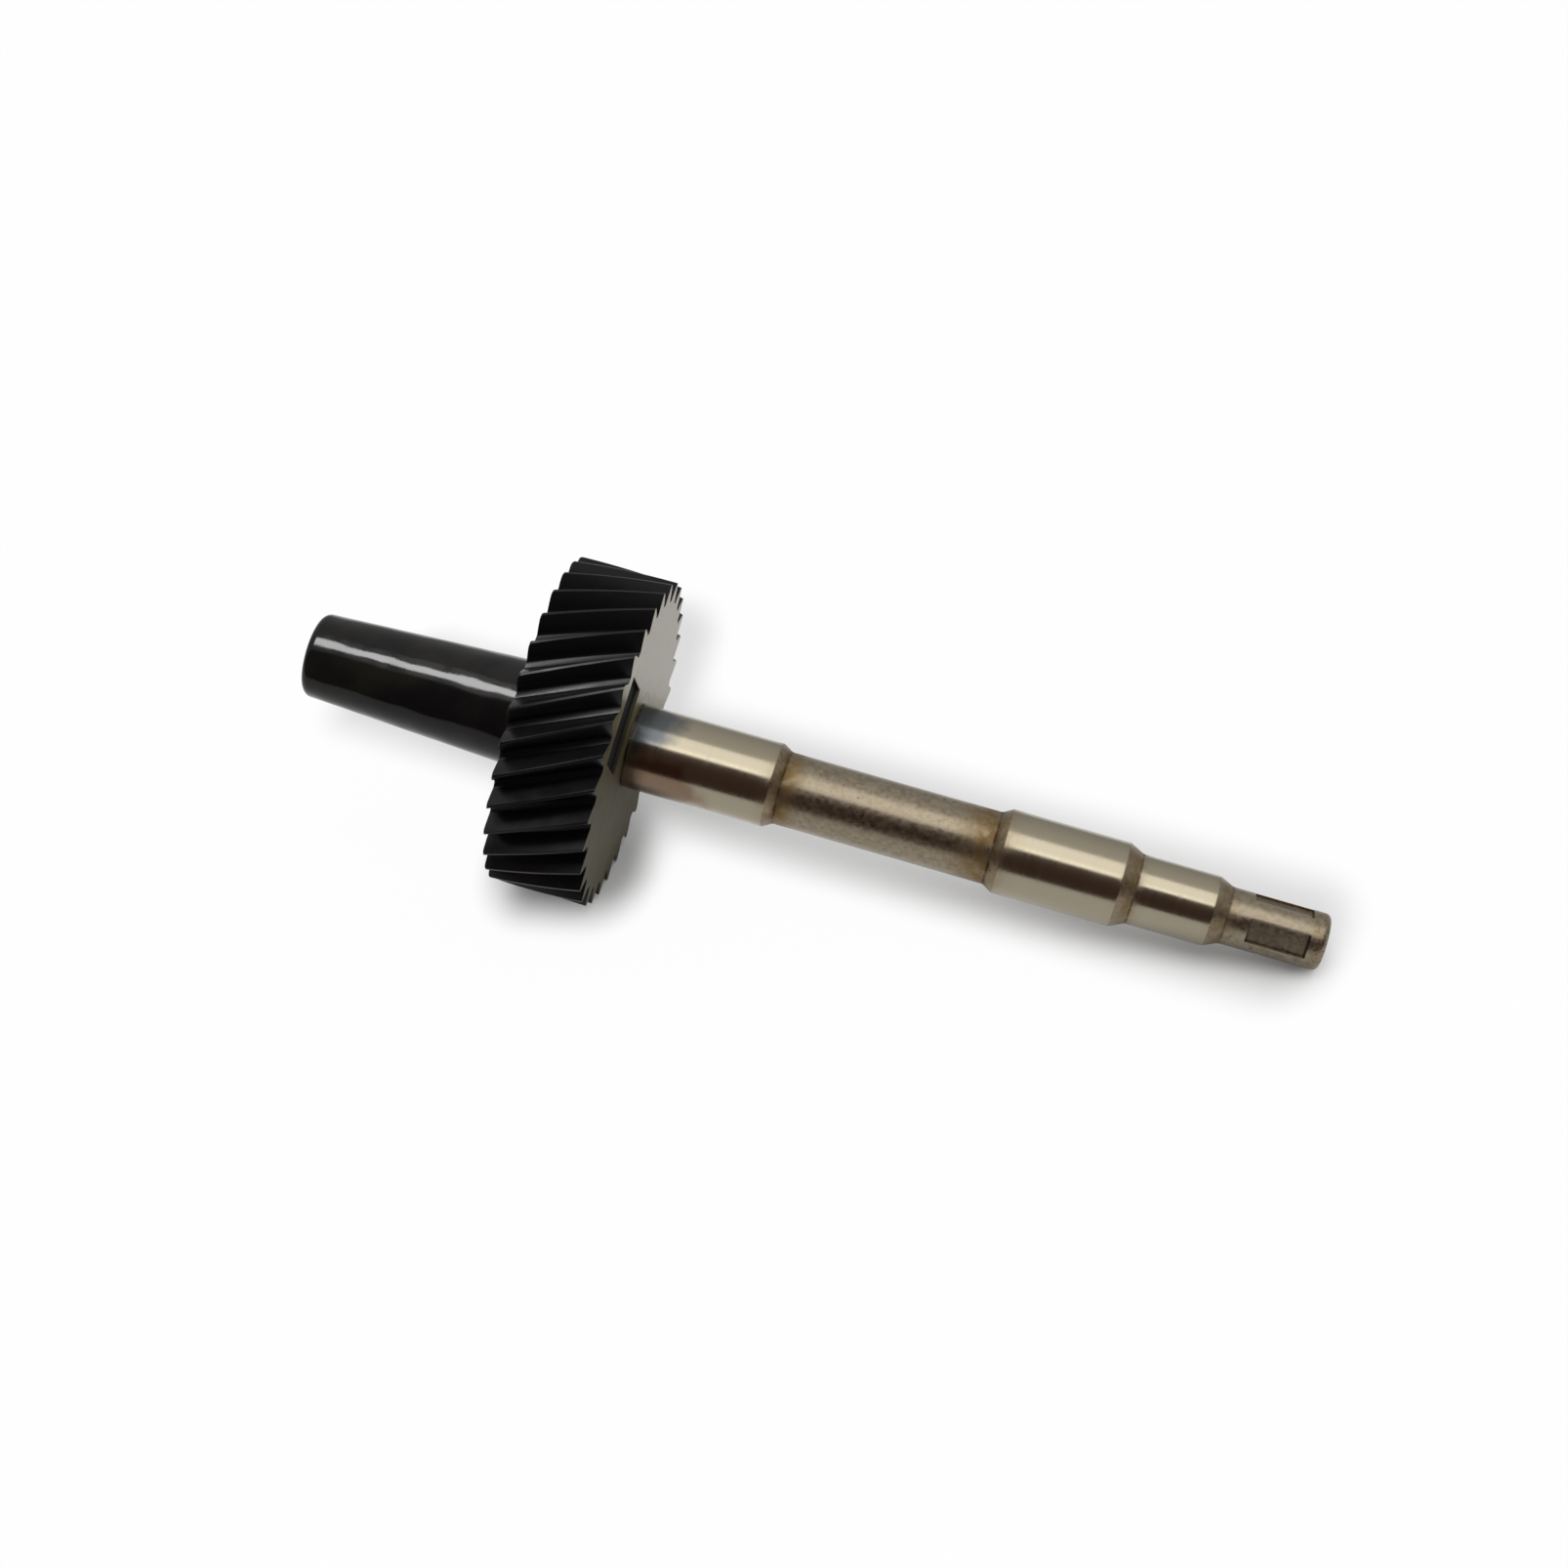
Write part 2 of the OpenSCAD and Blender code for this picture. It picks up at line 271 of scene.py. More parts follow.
def turned(path, angles):
    """Rows of points about the axis: radius times cosine and sine of each angle, at the path's stations."""
    station, radius = path[:, :1], path[:, 1:]
    return np.stack([radius * np.cos(angles), radius * np.sin(angles), station + 0 * angles], -1)


def knurled(rows, angles, count, depth):
    """Rows with their radius lowered by the depth times a zigzag that falls and rises once for each ridge."""
    phase = (angles * count / (2 * math.pi)) % 1
    radius = np.maximum(np.linalg.norm(rows[..., :2], axis=-1), depth)
    factor = 1 - depth * (1 - np.abs(2 * phase - 1)) / radius
    return rows * np.stack([factor, factor, np.ones_like(factor)], -1)


def to_part_frame(points, face_point):
    """Local points in the part's frame: face point plus x down, y sideways and z along the axis."""
    axis = np.array(JOURNAL["axis"])
    down = np.array([axis[2], 0, -axis[0]])
    return face_point + points @ np.array([down, [0, 1, 0], axis])


def front_face_point(shaft):
    """Middle of the gear's front face: the inner journal's middle less its relief and half its length."""
    middle = np.array(JOURNAL["pos_m"])
    return middle - np.array(JOURNAL["axis"]) * (shaft.relief_width + shaft.inner_journal / 2)


def closed_surface(name, rows, poles, face_point):
    """Closed mesh from rows of points that run round the axis.

    Point j of row i is joined to point j + 1 and to row i + 1, and a fan of triangles shuts each end on
    its pole. Returns the object; faces come row by row, then the two fans.
    """
    count, columns = rows.shape[:2]
    grid = np.arange(count * columns).reshape(count, columns)
    ahead = np.roll(grid, -1, axis=1)
    quads = np.stack([grid[:-1], ahead[:-1], ahead[1:], grid[1:]], -1).reshape(-1, 4)
    first, last = count * columns, count * columns + 1
    fans = np.concatenate([np.stack([np.full(columns, first), ahead[0], grid[0]], 1),
                           np.stack([grid[-1], ahead[-1], np.full(columns, last)], 1)])
    points = to_part_frame(np.concatenate([rows.reshape(-1, 3), poles]), face_point)
    corners = np.concatenate([quads.ravel(), fans.ravel()])
    sizes = np.concatenate([np.full(len(quads), 4), np.full(len(fans), 3)])
    mesh = bpy.data.meshes.new(name)
    mesh.vertices.add(len(points))
    mesh.vertices.foreach_set("co", points.ravel())
    mesh.loops.add(len(corners))
    mesh.loops.foreach_set("vertex_index", corners)
    mesh.polygons.add(len(sizes))
    mesh.polygons.foreach_set("loop_start", np.concatenate([[0], np.cumsum(sizes)[:-1]]))
    mesh.polygons.foreach_set("loop_total", sizes)
    mesh.update(calc_edges=True)
    if mesh.validate():
        raise RuntimeError(name + " has faces that don't hold together")
    mesh.shade_smooth()
    mesh.set_sharp_from_angle(angle=SHARP_ANGLE)
    piece = bpy.data.objects.new(name, mesh)
    bpy.context.scene.collection.objects.link(piece)
    return piece


def mark_faces(piece, name, by_row, columns, fans):
    """Stores one value per face: that of its row, or of its place in the row, and one value for each fan."""
    grid = np.broadcast_to(np.reshape(by_row, (len(by_row), -1)), (len(by_row), columns))
    values = np.concatenate([grid.ravel(), np.repeat(fans, columns)])
    piece.data.attributes.new(name, "FLOAT", "FACE").data.foreach_set("value", values.astype(np.float32))


def at_faces(grid):
    """Mean of the four corners of every face between rows of points."""
    rows = (grid[1:] + grid[:-1]) / 2
    return (rows + np.roll(rows, -1, axis=1)) / 2


def mark_points(piece, name, by_row, columns):
    """Stores one value per point: that of its row, or of its place in the row, and zero at the two poles."""
    grid = np.broadcast_to(np.reshape(by_row, (len(by_row), -1)), (len(by_row), columns))
    values = np.concatenate([grid.ravel(), [0, 0]])
    piece.data.attributes.new(name, "FLOAT", "POINT").data.foreach_set("value", values.astype(np.float32))


# The moulded gear

FLANK_POINTS = 6
TIP_BREAK = 0.04 * MM
HELIX_ROWS = 24
RIM_STEPS = 7
FACE_BAND = 0.3 * MM
RECESS_STEP = 0.8 * MM
RECESS_HALF_ANGLE = math.radians(26)
# The most of half a gap's floor that the fillet at a tooth's foot may take
FILLET_LIMIT = 0.8
# The dust and painted sheen on the front face grow from a thin share to a whole, between these distances from
# the axis towards the side that lies this far from the top: a painted reflection of the lit floor higher up,
# painted shade low by the shaft
SHEEN_SIDE = math.radians(38)
SHEEN_LOW = 0.35
SHEEN_FOOT = 0 * MM
SHEEN_TOP = 8 * MM
# Cross-section of the recess's wall: distance inside its edge, and share of its depth
WALL_REACH = np.array([-0.08, -0.02, 0.02, 0.06, 0.12, 0.2]) * MM
WALL_FALL = np.array([0, 0.04, 0.2, 0.8, 0.96, 1])


def involute(base, radius):
    """Angle from an involute's start to its point at a radius: tan(a) - a, where cos(a) = base / radius."""
    a = np.arccos(np.minimum(1, base / radius))
    return np.tan(a) - a


def tooth_outline(gear):
    """Radii and angles of all teeth at the front face, with the middle of a gap at angle zero.

    Half a tooth runs from the gap's middle over its fillet and involute flank to the middle of the tip.
    Its angle from the tooth's middle is half the tip's, plus the involute angle at the tip less that at
    the radius. The half is mirrored, and the tooth is repeated round the axis.
    """
    pitch_radius = gear.tooth_count * gear.normal_module / (2 * math.cos(gear.helix_angle))
    outer, gap = pitch_radius + gear.addendum, pitch_radius - gear.dedendum
    base = pitch_radius * math.cos(math.atan(math.tan(gear.pressure_angle) / math.cos(gear.helix_angle)))
    step = 2 * math.pi / gear.tooth_count

    def half_tooth(radius):
        return gear.tip_land / 2 / outer + involute(base, outer) - involute(base, radius)

    foot = float(half_tooth(np.array(gap)))
    top = gap + gear.root_fillet
    fillet = min(gear.root_fillet / gap, FILLET_LIMIT * (step / 2 - foot))
    t = np.linspace(0, 1, CORNER_STEPS - 1)
    fillet_radius = (1 - t ** 2) * gap + t ** 2 * top
    rise = float(half_tooth(np.array(top)))
    fillet_angle = (1 - t) ** 2 * (foot + fillet) + 2 * t * (1 - t) * foot + t ** 2 * rise
    flank = np.linspace(top, outer - TIP_BREAK, FLANK_POINTS)[1:]
    land = gear.tip_land / 2 / outer
    radius = np.concatenate([[gap], fillet_radius, flank, [outer, outer]])
    angle = np.concatenate([[step / 2], fillet_angle, half_tooth(flank), [land - TIP_BREAK / outer, 0]])
    radii = np.concatenate([radius, radius[-2:0:-1]])
    offsets = np.concatenate([-angle, angle[-2:0:-1]])
    middles = (np.arange(gear.tooth_count) + 0.5) * step
    return np.tile(radii, gear.tooth_count), (middles[:, None] + offsets).ravel(), gap, outer, pitch_radius


def face_ring(across, offset, side, edge_offset):
    """Ring of the front face at one distance across the recess.

    Inside the recess's angle the ring is a straight line at that distance, each point at its own offset
    along it. Outside, it is a circle through the line's ends, and its angles close up evenly until a
    quarter turn from the recess.
    """
    end_angle = math.atan2(edge_offset, across)
    inside = np.isfinite(offset)
    reach = np.abs(side)
    start = reach[inside].max()
    spread = end_angle + (reach - start) * (math.pi / 2 - end_angle) / (math.pi / 2 - start)
    angle = np.where(reach < math.pi / 2, np.sign(side) * spread, side)
    radius = np.full_like(side, math.hypot(across, edge_offset))
    angle[inside] = np.arctan2(offset[inside], across)
    radius[inside] = np.hypot(across, offset[inside])
    return radius, angle


def front_face_rows(gear, angles, gap, inner_radius):
    """Rows over the front face from just inside the gaps to the hub.

    Rings follow the sides of the recess, and a point's depth is read from the wall's cross-section at its
    distance to the nearest side.
    """
    side = (angles - gear.recess_angle + math.pi) % (2 * math.pi) - math.pi
    half = gear.recess_width / 2
    inside = np.flatnonzero(np.abs(side) < RECESS_HALF_ANGLE)
    inside = inside[np.argsort(side[inside])]
    margin, foot = len(WALL_REACH), WALL_REACH[-1]
    middle = np.linspace(-half + 2 * foot, half - 2 * foot, len(inside) - 2 * margin)
    offset = np.full_like(side, np.nan)
    offset[inside] = np.concatenate([-half + WALL_REACH, middle, half - WALL_REACH[::-1]])
    edge_offset = half - WALL_REACH[0]
    floor_steps = int((gear.recess_outer - gear.recess_inner) / RECESS_STEP)
    floor = np.linspace(gear.recess_outer - 3 * foot, gear.recess_inner + 3 * foot, floor_steps)
    rings = np.concatenate([gear.recess_outer - WALL_REACH, floor, gear.recess_inner + WALL_REACH[::-1]])
    circle = np.stack([np.cos(angles), np.sin(angles), 0 * angles], -1)
    rows = [circle * (gap - FACE_BAND), circle * (gap - 2 * FACE_BAND)]
    for across in rings:
        radius, angle = face_ring(across, offset, side, edge_offset)
        depth = np.minimum(across - gear.recess_inner, gear.recess_outer - across)
        depth = np.where(np.isfinite(offset), np.minimum(depth, half - np.abs(np.nan_to_num(offset))), -1)
        fall = gear.recess_depth * np.interp(depth, WALL_REACH, WALL_FALL)
        turn = angle + gear.recess_angle
        rows.append(np.stack([radius * np.cos(turn), radius * np.sin(turn), -fall], -1))
    hub = circle * inner_radius
    rows += [rows[-1] * (1 - t) + hub * t for t in np.linspace(0, 1, CORNER_STEPS)[1:]]
    return np.stack(rows)


def build_gear(gear, shaft):
    """The moulding as one closed surface, from the gate dimple over tail, rear face, teeth and front face
    into the knurled bore. A row at station z is turned by tan(helix) / pitch radius times the distance
    from the front face, which leans the teeth to the left."""
    radii, angles, gap, outer, pitch_radius = tooth_outline(gear)
    twist = math.tan(gear.helix_angle) / pitch_radius
    rear = -gear.face_width
    end = rear - gear.tail_length
    rim = gear.tail_end - gear.tail_edge
    columns = len(angles)

    dimple = rounded_profile([(end + gear.gate_depth, POLE_SHARE * gear.gate_radius, 0),
                              (end + gear.gate_depth, gear.gate_radius, gear.gate_round),
                              (end, gear.gate_radius, gear.gate_round), (end, rim - SUPPORT, 0)], TAIL_STEP)
    edge = arc(end + gear.tail_edge, rim, gear.tail_edge, -math.pi, -1.5 * math.pi, EDGE_STEPS)
    cone = rounded_profile([(end + gear.tail_edge, gear.tail_end, 0), (rear, gear.tail_root, gear.hub_fillet),
                            (rear, gap - FACE_BAND, 0)], TAIL_STEP)
    tail = np.concatenate([dimple, edge, cone[1:]])
    tail_rows = turned(tail, angles + twist * gear.face_width)

    turn = np.linspace(0, math.pi / 2, RIM_STEPS)
    rounding = rear + gear.rim_round * (1 - np.cos(turn))
    blank = outer - gear.rim_round * (1 - np.sin(turn))
    stations = np.concatenate([rounding, np.linspace(rounding[-1], 0, HELIX_ROWS + 1)[1:]])
    blank = np.concatenate([blank, np.full(HELIX_ROWS, outer)])
    row_radii = np.minimum(radii, blank[:, None])
    row_angles = angles - twist * stations[:, None]
    teeth_rows = np.stack([row_radii * np.cos(row_angles), row_radii * np.sin(row_angles),
                           stations[:, None] + 0 * row_angles], -1)

    face_rows = front_face_rows(gear, angles, gap, shaft.root_radius)
    bore = rounded_profile([(0, shaft.root_radius, 0)] + lock_groove(shaft)[::-1]
                           + [(-shaft.root, shaft.root_radius, 0),
                              (-shaft.root, POLE_SHARE * shaft.root_radius, 0)], HIDDEN_STEP)[1:]
    bore_rows = knurled_where_full(turned(bore, angles), angles, shaft)
    face_rows[-1] = knurled(face_rows[-1:], angles, shaft.knurl_count, shaft.knurl_depth)[0]

    rows = np.concatenate([tail_rows, teeth_rows, face_rows, bore_rows])
    poles = np.array([[0, 0, end + gear.gate_depth], [0, 0, -shaft.root]])
    piece = closed_surface("moulded_gear", rows, poles, front_face_point(shaft))
    counts = [len(tail_rows), len(teeth_rows) - 1, len(face_rows), len(bore_rows)]
    on_rear = np.abs(tail[:, 0] - rear) < SUPPORT
    flank = np.repeat([0, 1, 0, 0], counts)
    flank[:len(tail)] = on_rear
    on_tail = np.zeros(len(rows) - 1)
    on_tail[:len(tail)] = ~on_rear
    mark_faces(piece, "flank", flank, columns, [0, 0])
    mark_faces(piece, "tail", on_tail, columns, [1, 0])
    mark_faces(piece, "face", np.repeat([0, 0, 1, 0], counts), columns, [0, 0])
    # Dust and painted sheen on the front face: lighter towards the top as a painted reflection of the lit
    # floor, thin low by the shaft as painted shade. The recess gets none and stays dark
    front = np.concatenate([teeth_rows[-1:], face_rows])
    flush = at_faces(-front[..., 2]) < gear.recess_depth / 2
    film_and_sheen = np.zeros((len(rows) - 1, columns))
    height = at_faces(front[..., 1] * math.sin(SHEEN_SIDE) - front[..., 0] * math.cos(SHEEN_SIDE))
    film_and_sheen[sum(counts[:2]):sum(counts[:3])] = flush * np.interp(height, [SHEEN_FOOT, SHEEN_TOP], [SHEEN_LOW, 1])
    mark_faces(piece, "film_and_sheen", film_and_sheen, columns, [0, 0])
    return piece


# The steel shaft

QUARTER = math.pi / 2
POCKET_FILLET = 0.08 * MM
POCKET_LIP = 0.12 * MM
FLOOR_POINTS = 8
ROUND_POINTS = 9
# Rows over a crimp's sloping end, and the share of the slope by which they pass it
SLOPE_ROWS = 9
SLOPE_MARGIN = 0.15
# Grime and painted shade by the share of a crimp's depth: darkest on the walls, less on the floor
DIRT_SHADE_DEPTH = (0.04, 0.1, 0.36, 0.42)
DIRT_SHADE = (0, 1, 1, 0.32)
DRILL_POINT = math.radians(59)
# How near a row lies to a radius that it is counted on, for the knurl and for the ground journals
ON_RADIUS = 0.01 * MM
ON_JOURNAL = 0.05 * MM
# Stains and rust beside the shoulders: the shoulder, how far past it and how wide in millimetres, and the
# strength
STAINS = (("waist_start", 0.5, 1.8, 1.0), ("waist_end", -1.2, 2.8, 1.0), ("pilot_start", -0.6, 1.2, 0.7),
          ("tip_start", -0.6, 1.2, 0.6), ("end", -1.5, 1.5, 0.3))
RUST = (("face", 0.1, 0.2, 1.0), ("waist_start", 0, 0.24, 0.9), ("waist_end", 0, 0.2, 1.0),
        ("pilot_start", 0, 0.14, 0.8), ("tip_start", 0, 0.16, 0.6))
# Heat tints and painted shade of the gear: the distance from the gear and the spread along the shaft in
# millimetres, and the middle and the spread round it in degrees. The bluish one lies on top and darkens the
# highlight and the band above it, the rosy one on the side that faces -Y and darkens the mirrored floor.
HEAT_TINTS_AND_SHADE = (("cool_tint_and_shade", 2, 5, 195, 48), ("warm_tint_and_shade", 5, 9, 285, 50))


def lock_groove(shaft):
    """Corners of the locking groove in the knurled root, from rear to front."""
    low, high = -shaft.root / 2 - shaft.lock_width / 2, -shaft.root / 2 + shaft.lock_width / 2
    floor = shaft.root_radius - shaft.lock_depth
    return [(low, shaft.root_radius, 0), (low, floor, 0), (high, floor, 0), (high, shaft.root_radius, 0)]


def knurled_where_full(rows, angles, shaft):
    """Knurls the rows that lie on the root's full radius; the locking groove and the ends stay round."""
    full = np.isclose(np.linalg.norm(rows[:, 0, :2], axis=-1), shaft.root_radius, atol=ON_RADIUS)
    return np.where(full[:, None, None], knurled(rows, angles, shaft.knurl_count, shaft.knurl_depth), rows)


def pocket_section(shaft):
    """One quarter of the shaft's section through the pockets, with the matching points of the round section.

    Half a pocket is a flat floor, a quarter-round fillet, and a lip that curves from the wall onto the
    circle as (1 - t)(1 - t) A + 2 t (1 - t) C + t t B. The other half is its mirror image.
    """
    floor = shaft.tip_radius - shaft.crimp_depth
    half = shaft.pocket_width / 2
    flat = np.linspace(0, half - POCKET_FILLET, FLOOR_POINTS)
    corner = np.array([math.sqrt(shaft.tip_radius ** 2 - half ** 2), half])
    lip_angle = math.atan2(half, corner[0]) + POCKET_LIP / shaft.tip_radius
    lip_end = shaft.tip_radius * np.array([math.cos(lip_angle), math.sin(lip_angle)])
    lip_start = corner - [min(POCKET_LIP, 0.5 * (corner[0] - floor)), 0]
    t = np.linspace(0, 1, CORNER_STEPS)[:, None]
    lip = (1 - t) ** 2 * lip_start + 2 * t * (1 - t) * corner + t ** 2 * lip_end
    bend = np.array([[floor + POCKET_FILLET * (1 - math.cos(math.pi / 4)),
                      half - POCKET_FILLET * (1 - math.sin(math.pi / 4))], [floor + POCKET_FILLET, half]])
    around = np.linspace(lip_angle, QUARTER / 2, ROUND_POINTS)[1:]
    circle = shaft.tip_radius * np.stack([np.cos(around), np.sin(around)], 1)
    section = np.concatenate([np.stack([np.full_like(flat, floor), flat], 1), bend, lip, circle])
    flat_angle = np.arcsin(flat / shaft.tip_radius)
    between = np.linspace(flat_angle[-1], lip_angle, len(bend) + len(lip) + 1)[1:]
    angle = np.concatenate([flat_angle, between, around])
    mirrored = section[-2:0:-1] * [1, -1]
    return np.concatenate([mirrored, section]), np.concatenate([-angle[-2:0:-1], angle])


def quarter_turns(section, angle, start):
    """A quarter section (x, y) and its angles, repeated four times round the axis from a start angle.

    Each quarter is (x cos a - y sin a, x sin a + y cos a), where a is its own turn.
    """
    turns = start + QUARTER * np.arange(4)
    c, s = np.cos(turns)[:, None], np.sin(turns)[:, None]
    x, y = section[:, 0], section[:, 1]
    return np.stack([(x * c - y * s).ravel(), (x * s + y * c).ravel()], 1), (turns[:, None] + angle).ravel()


def press(station, low, high, slope):
    """Share of a crimp's full depth at a station: s s (3 - 2 s), where s is the share of the nearer end's
    slope that lies behind it, from 0 to 1."""
    passed = np.clip(np.minimum(station - low + slope, high + slope - station) / slope, 0, 1)
    return passed * passed * (3 - 2 * passed)


def crimp_rows(low, high, slope):
    """Stations of the rows that a crimp's sloping ends need."""
    ends = np.linspace(-SLOPE_MARGIN, 1 + SLOPE_MARGIN, SLOPE_ROWS) * slope
    return np.concatenate([low - slope + ends, (high + slope - ends)[::-1]])


def build_shaft(shaft):
    """The shaft as one closed surface, from its hidden root over the journals to the rim of the cable end
    and down the bore to the drill point. Rows are circles of the turned outline; between a pocket's
    ends they are mixed with the section through the pockets by the crimp's share of its depth."""
    section, angles = quarter_turns(*pocket_section(shaft), shaft.pocket_angle)
    columns = len(angles)
    inner_end = shaft.relief_width + shaft.inner_journal
    waist_start = inner_end + shaft.waist_cone
    waist_end = waist_start + shaft.waist
    outer_start = waist_end + shaft.waist_cone
    outer_end = outer_start + shaft.outer_journal
    pilot_start = outer_end + shaft.pilot_cone
    pilot_end = pilot_start + shaft.pilot
    tip_start = pilot_end + shaft.tip_cone
    end = tip_start + shaft.tip
    low, high = end - shaft.pocket_setback - shaft.pocket, end - shaft.pocket_setback
    rim = shaft.tip_radius - shaft.tip_edge
    groove = shaft.journal_radius - shaft.relief_depth

    root = rounded_profile([(-shaft.root, POLE_SHARE * shaft.root_radius, 0),
                            (-shaft.root, shaft.root_radius, 0)]
                           + lock_groove(shaft) + [(0, shaft.root_radius, 0)], HIDDEN_STEP)
    body = [(0, shaft.root_radius + SUPPORT, 0), (0, groove, 0),
            (shaft.relief_width, groove, shaft.relief_round),
            (shaft.relief_width, shaft.journal_radius, shaft.relief_round),
            (inner_end, shaft.journal_radius, shaft.edge_round),
            (waist_start, shaft.waist_radius, shaft.shoulder_fillet),
            (waist_end, shaft.waist_radius, shaft.shoulder_fillet),
            (outer_start, shaft.journal_radius, shaft.edge_round),
            (outer_end, shaft.journal_radius, shaft.edge_round),
            (pilot_start, shaft.pilot_radius, shaft.shoulder_fillet),
            (pilot_end, shaft.pilot_radius, shaft.edge_round),
            (tip_start, shaft.tip_radius, shaft.shoulder_fillet)]
    pocket_stations = crimp_rows(low, high, shaft.crimp_slope)
    body += [(z, shaft.tip_radius, 0) for z in pocket_stations if z < end - shaft.tip_edge]
    body = rounded_profile(body + [(end - shaft.tip_edge, shaft.tip_radius, 0)], ROW_STEP)[:-1]
    edge = arc(end - shaft.tip_edge, rim, shaft.tip_edge, math.pi / 2, 0, EDGE_STEPS)
    bore = [(end, rim, 0), (end, shaft.socket_radius + shaft.mouth, shaft.mouth_round),
            (end - shaft.mouth, shaft.socket_radius, shaft.mouth_round)]
    bore += [(z, shaft.socket_radius, 0) for z in pocket_stations[::-1]
             if z < end - shaft.mouth - 2 * shaft.mouth_round]
    drill = end - shaft.socket_depth
    bore += [(drill, shaft.socket_radius, 0),
             (drill - (1 - POLE_SHARE) * shaft.socket_radius / math.tan(DRILL_POINT),
              POLE_SHARE * shaft.socket_radius, 0)]
    bore = rounded_profile(bore, ROW_STEP)[1:]

    root_rows = knurled_where_full(turned(root, angles), angles, shaft)
    outside = turned(np.concatenate([body, edge]), angles)
    share = press(outside[:, :1, 2], low, high, shaft.crimp_slope)
    share[outside[:, 0, 2] < tip_start] = 0
    scale = np.linalg.norm(outside[:, :1, :2], axis=-1) / shaft.tip_radius
    pressed = share[..., None]
    outside[..., :2] = (1 - pressed) * outside[..., :2] + pressed * scale[..., None] * section

    inside = turned(bore, angles)
    share = press(inside[:, :1, 2], low, high, shaft.crimp_slope)
    turn = (angles - shaft.pocket_angle + QUARTER / 2) % QUARTER - QUARTER / 2
    bore_radius = np.linalg.norm(inside[:, :1, :2], axis=-1)
    square = np.minimum(bore_radius, (shaft.socket_radius - shaft.crimp_depth) / np.cos(turn))
    inside[..., :2] *= ((1 - share) * bore_radius + share * square)[..., None] / bore_radius[..., None]

    rows = np.concatenate([root_rows, outside, inside])
    poles = np.array([[0, 0, -shaft.root], [0, 0, drill - shaft.socket_radius / math.tan(DRILL_POINT)]])
    piece = closed_surface("ground_shaft", rows, poles, front_face_point(shaft))

    station, radius = rows[:, 0, 2], np.linalg.norm(rows[:, 0, :2], axis=-1)
    middle, outer_side = (station[1:] + station[:-1]) / 2, (radius[1:] + radius[:-1]) / 2
    journals = [(shaft.relief_width, inner_end, shaft.journal_radius),
                (outer_start, outer_end, shaft.journal_radius), (pilot_start, pilot_end, shaft.pilot_radius)]
    ground = sum((middle > a) & (middle < b) & (outer_side > r - ON_JOURNAL) for a, b, r in journals)
    mark_faces(piece, "ground", ground, columns, [0, 0])
    # Dirt and painted shade darken the pocket opposite the first one
    pocket_dirt_shade = np.zeros((len(rows) - 1, columns))
    depth = at_faces(shaft.tip_radius * scale - np.linalg.norm(outside[..., :2], axis=-1)) / shaft.crimp_depth
    opposite = bell(angles, shaft.pocket_angle + math.pi, QUARTER) > bell(QUARTER / 2, 0, QUARTER)
    pocket_dirt_shade[len(root_rows):len(root_rows) + len(depth)] = opposite * np.interp(depth, DIRT_SHADE_DEPTH, DIRT_SHADE)
    mark_faces(piece, "pocket_dirt_shade", pocket_dirt_shade, columns, [0, 0])
    on_outside = np.repeat([0, 1, 0], [len(root_rows), len(outside), len(inside)])
    shoulders = {"face": 0, "waist_start": waist_start, "waist_end": waist_end, "pilot_start": pilot_start,
                 "tip_start": tip_start, "end": end}
    for name, marks in (("stain", STAINS), ("rust", RUST)):
        places = [(shoulders[where] + past * MM, spread, strength) for where, past, spread, strength in marks]
        mark_points(piece, name, on_outside * bumps(station, places), columns)
    for name, past, spread, side, width in HEAT_TINTS_AND_SHADE:
        along = on_outside * bumps(station, [(past * MM, spread, 1)])
        around = bell(angles, math.radians(side), math.radians(width))
        mark_points(piece, name, along[:, None] * around, columns)
    return piece


def bell(angles, middle, spread):
    """Bell curve round the axis: exp(-(turn / spread) ** 2), with the turn from the middle the short way."""
    turn = (angles - middle + math.pi) % (2 * math.pi) - math.pi
    return np.exp(-(turn / spread) ** 2)


def bumps(station, places):
    """Sum of bell curves along the axis: strength times exp(-((station - middle) / spread) ** 2)."""
    return sum(strength * np.exp(-((station - middle) / (spread * MM)) ** 2)
               for middle, spread, strength in places)


# Materials

def add_node(tree, kind, settings=(), inputs=()):
    """Adds a node, sets its properties and fills its inputs.

    An input is named by its label or by its number, counted over the inputs in use. A node or a socket given
    as a value is linked, a node from its first output in use.
    """
    node = tree.nodes.new(kind)
    for name, value in dict(settings).items():
        setattr(node, name, value)
    used = [socket for socket in node.inputs if socket.enabled]
    for name, value in dict(inputs).items():
        if isinstance(name, int):
            target = used[name]
        else:
            target = next(socket for socket in used if socket.name == name)
        if isinstance(value, bpy.types.Node):
            value = next(socket for socket in value.outputs if socket.enabled)
        if isinstance(value, bpy.types.NodeSocket):
            tree.links.new(value, target)
        else:
            target.default_value = value
    return node


def empty_material(name):
    """A new material with an empty node tree and the output node."""
    material = bpy.data.materials.new(name)
    material.use_nodes = True
    material.node_tree.nodes.clear()
    return material, material.node_tree, add_node(material.node_tree, "ShaderNodeOutputMaterial")


def per_metre(size):
    """Scale of a pattern whose grains are this many millimetres across."""
    return 1 / (size * MM)


def along_axis(tree):
    """Object coordinates turned so that X runs along the shaft."""
    tilt = math.atan2(-JOURNAL["axis"][2], JOURNAL["axis"][0])
    place = add_node(tree, "ShaderNodeTexCoord").outputs["Object"]
    return add_node(tree, "ShaderNodeMapping", {}, {"Vector": place, "Rotation": (0, -tilt, 0)})


# Strength of the painted sheen on the front face, given as the thickness of its dust over the length in which
# dust hides what lies under it, and the smallest cosine of the view that counts
SHEEN_THICKNESS = 0.22
FLATTEST = 0.02


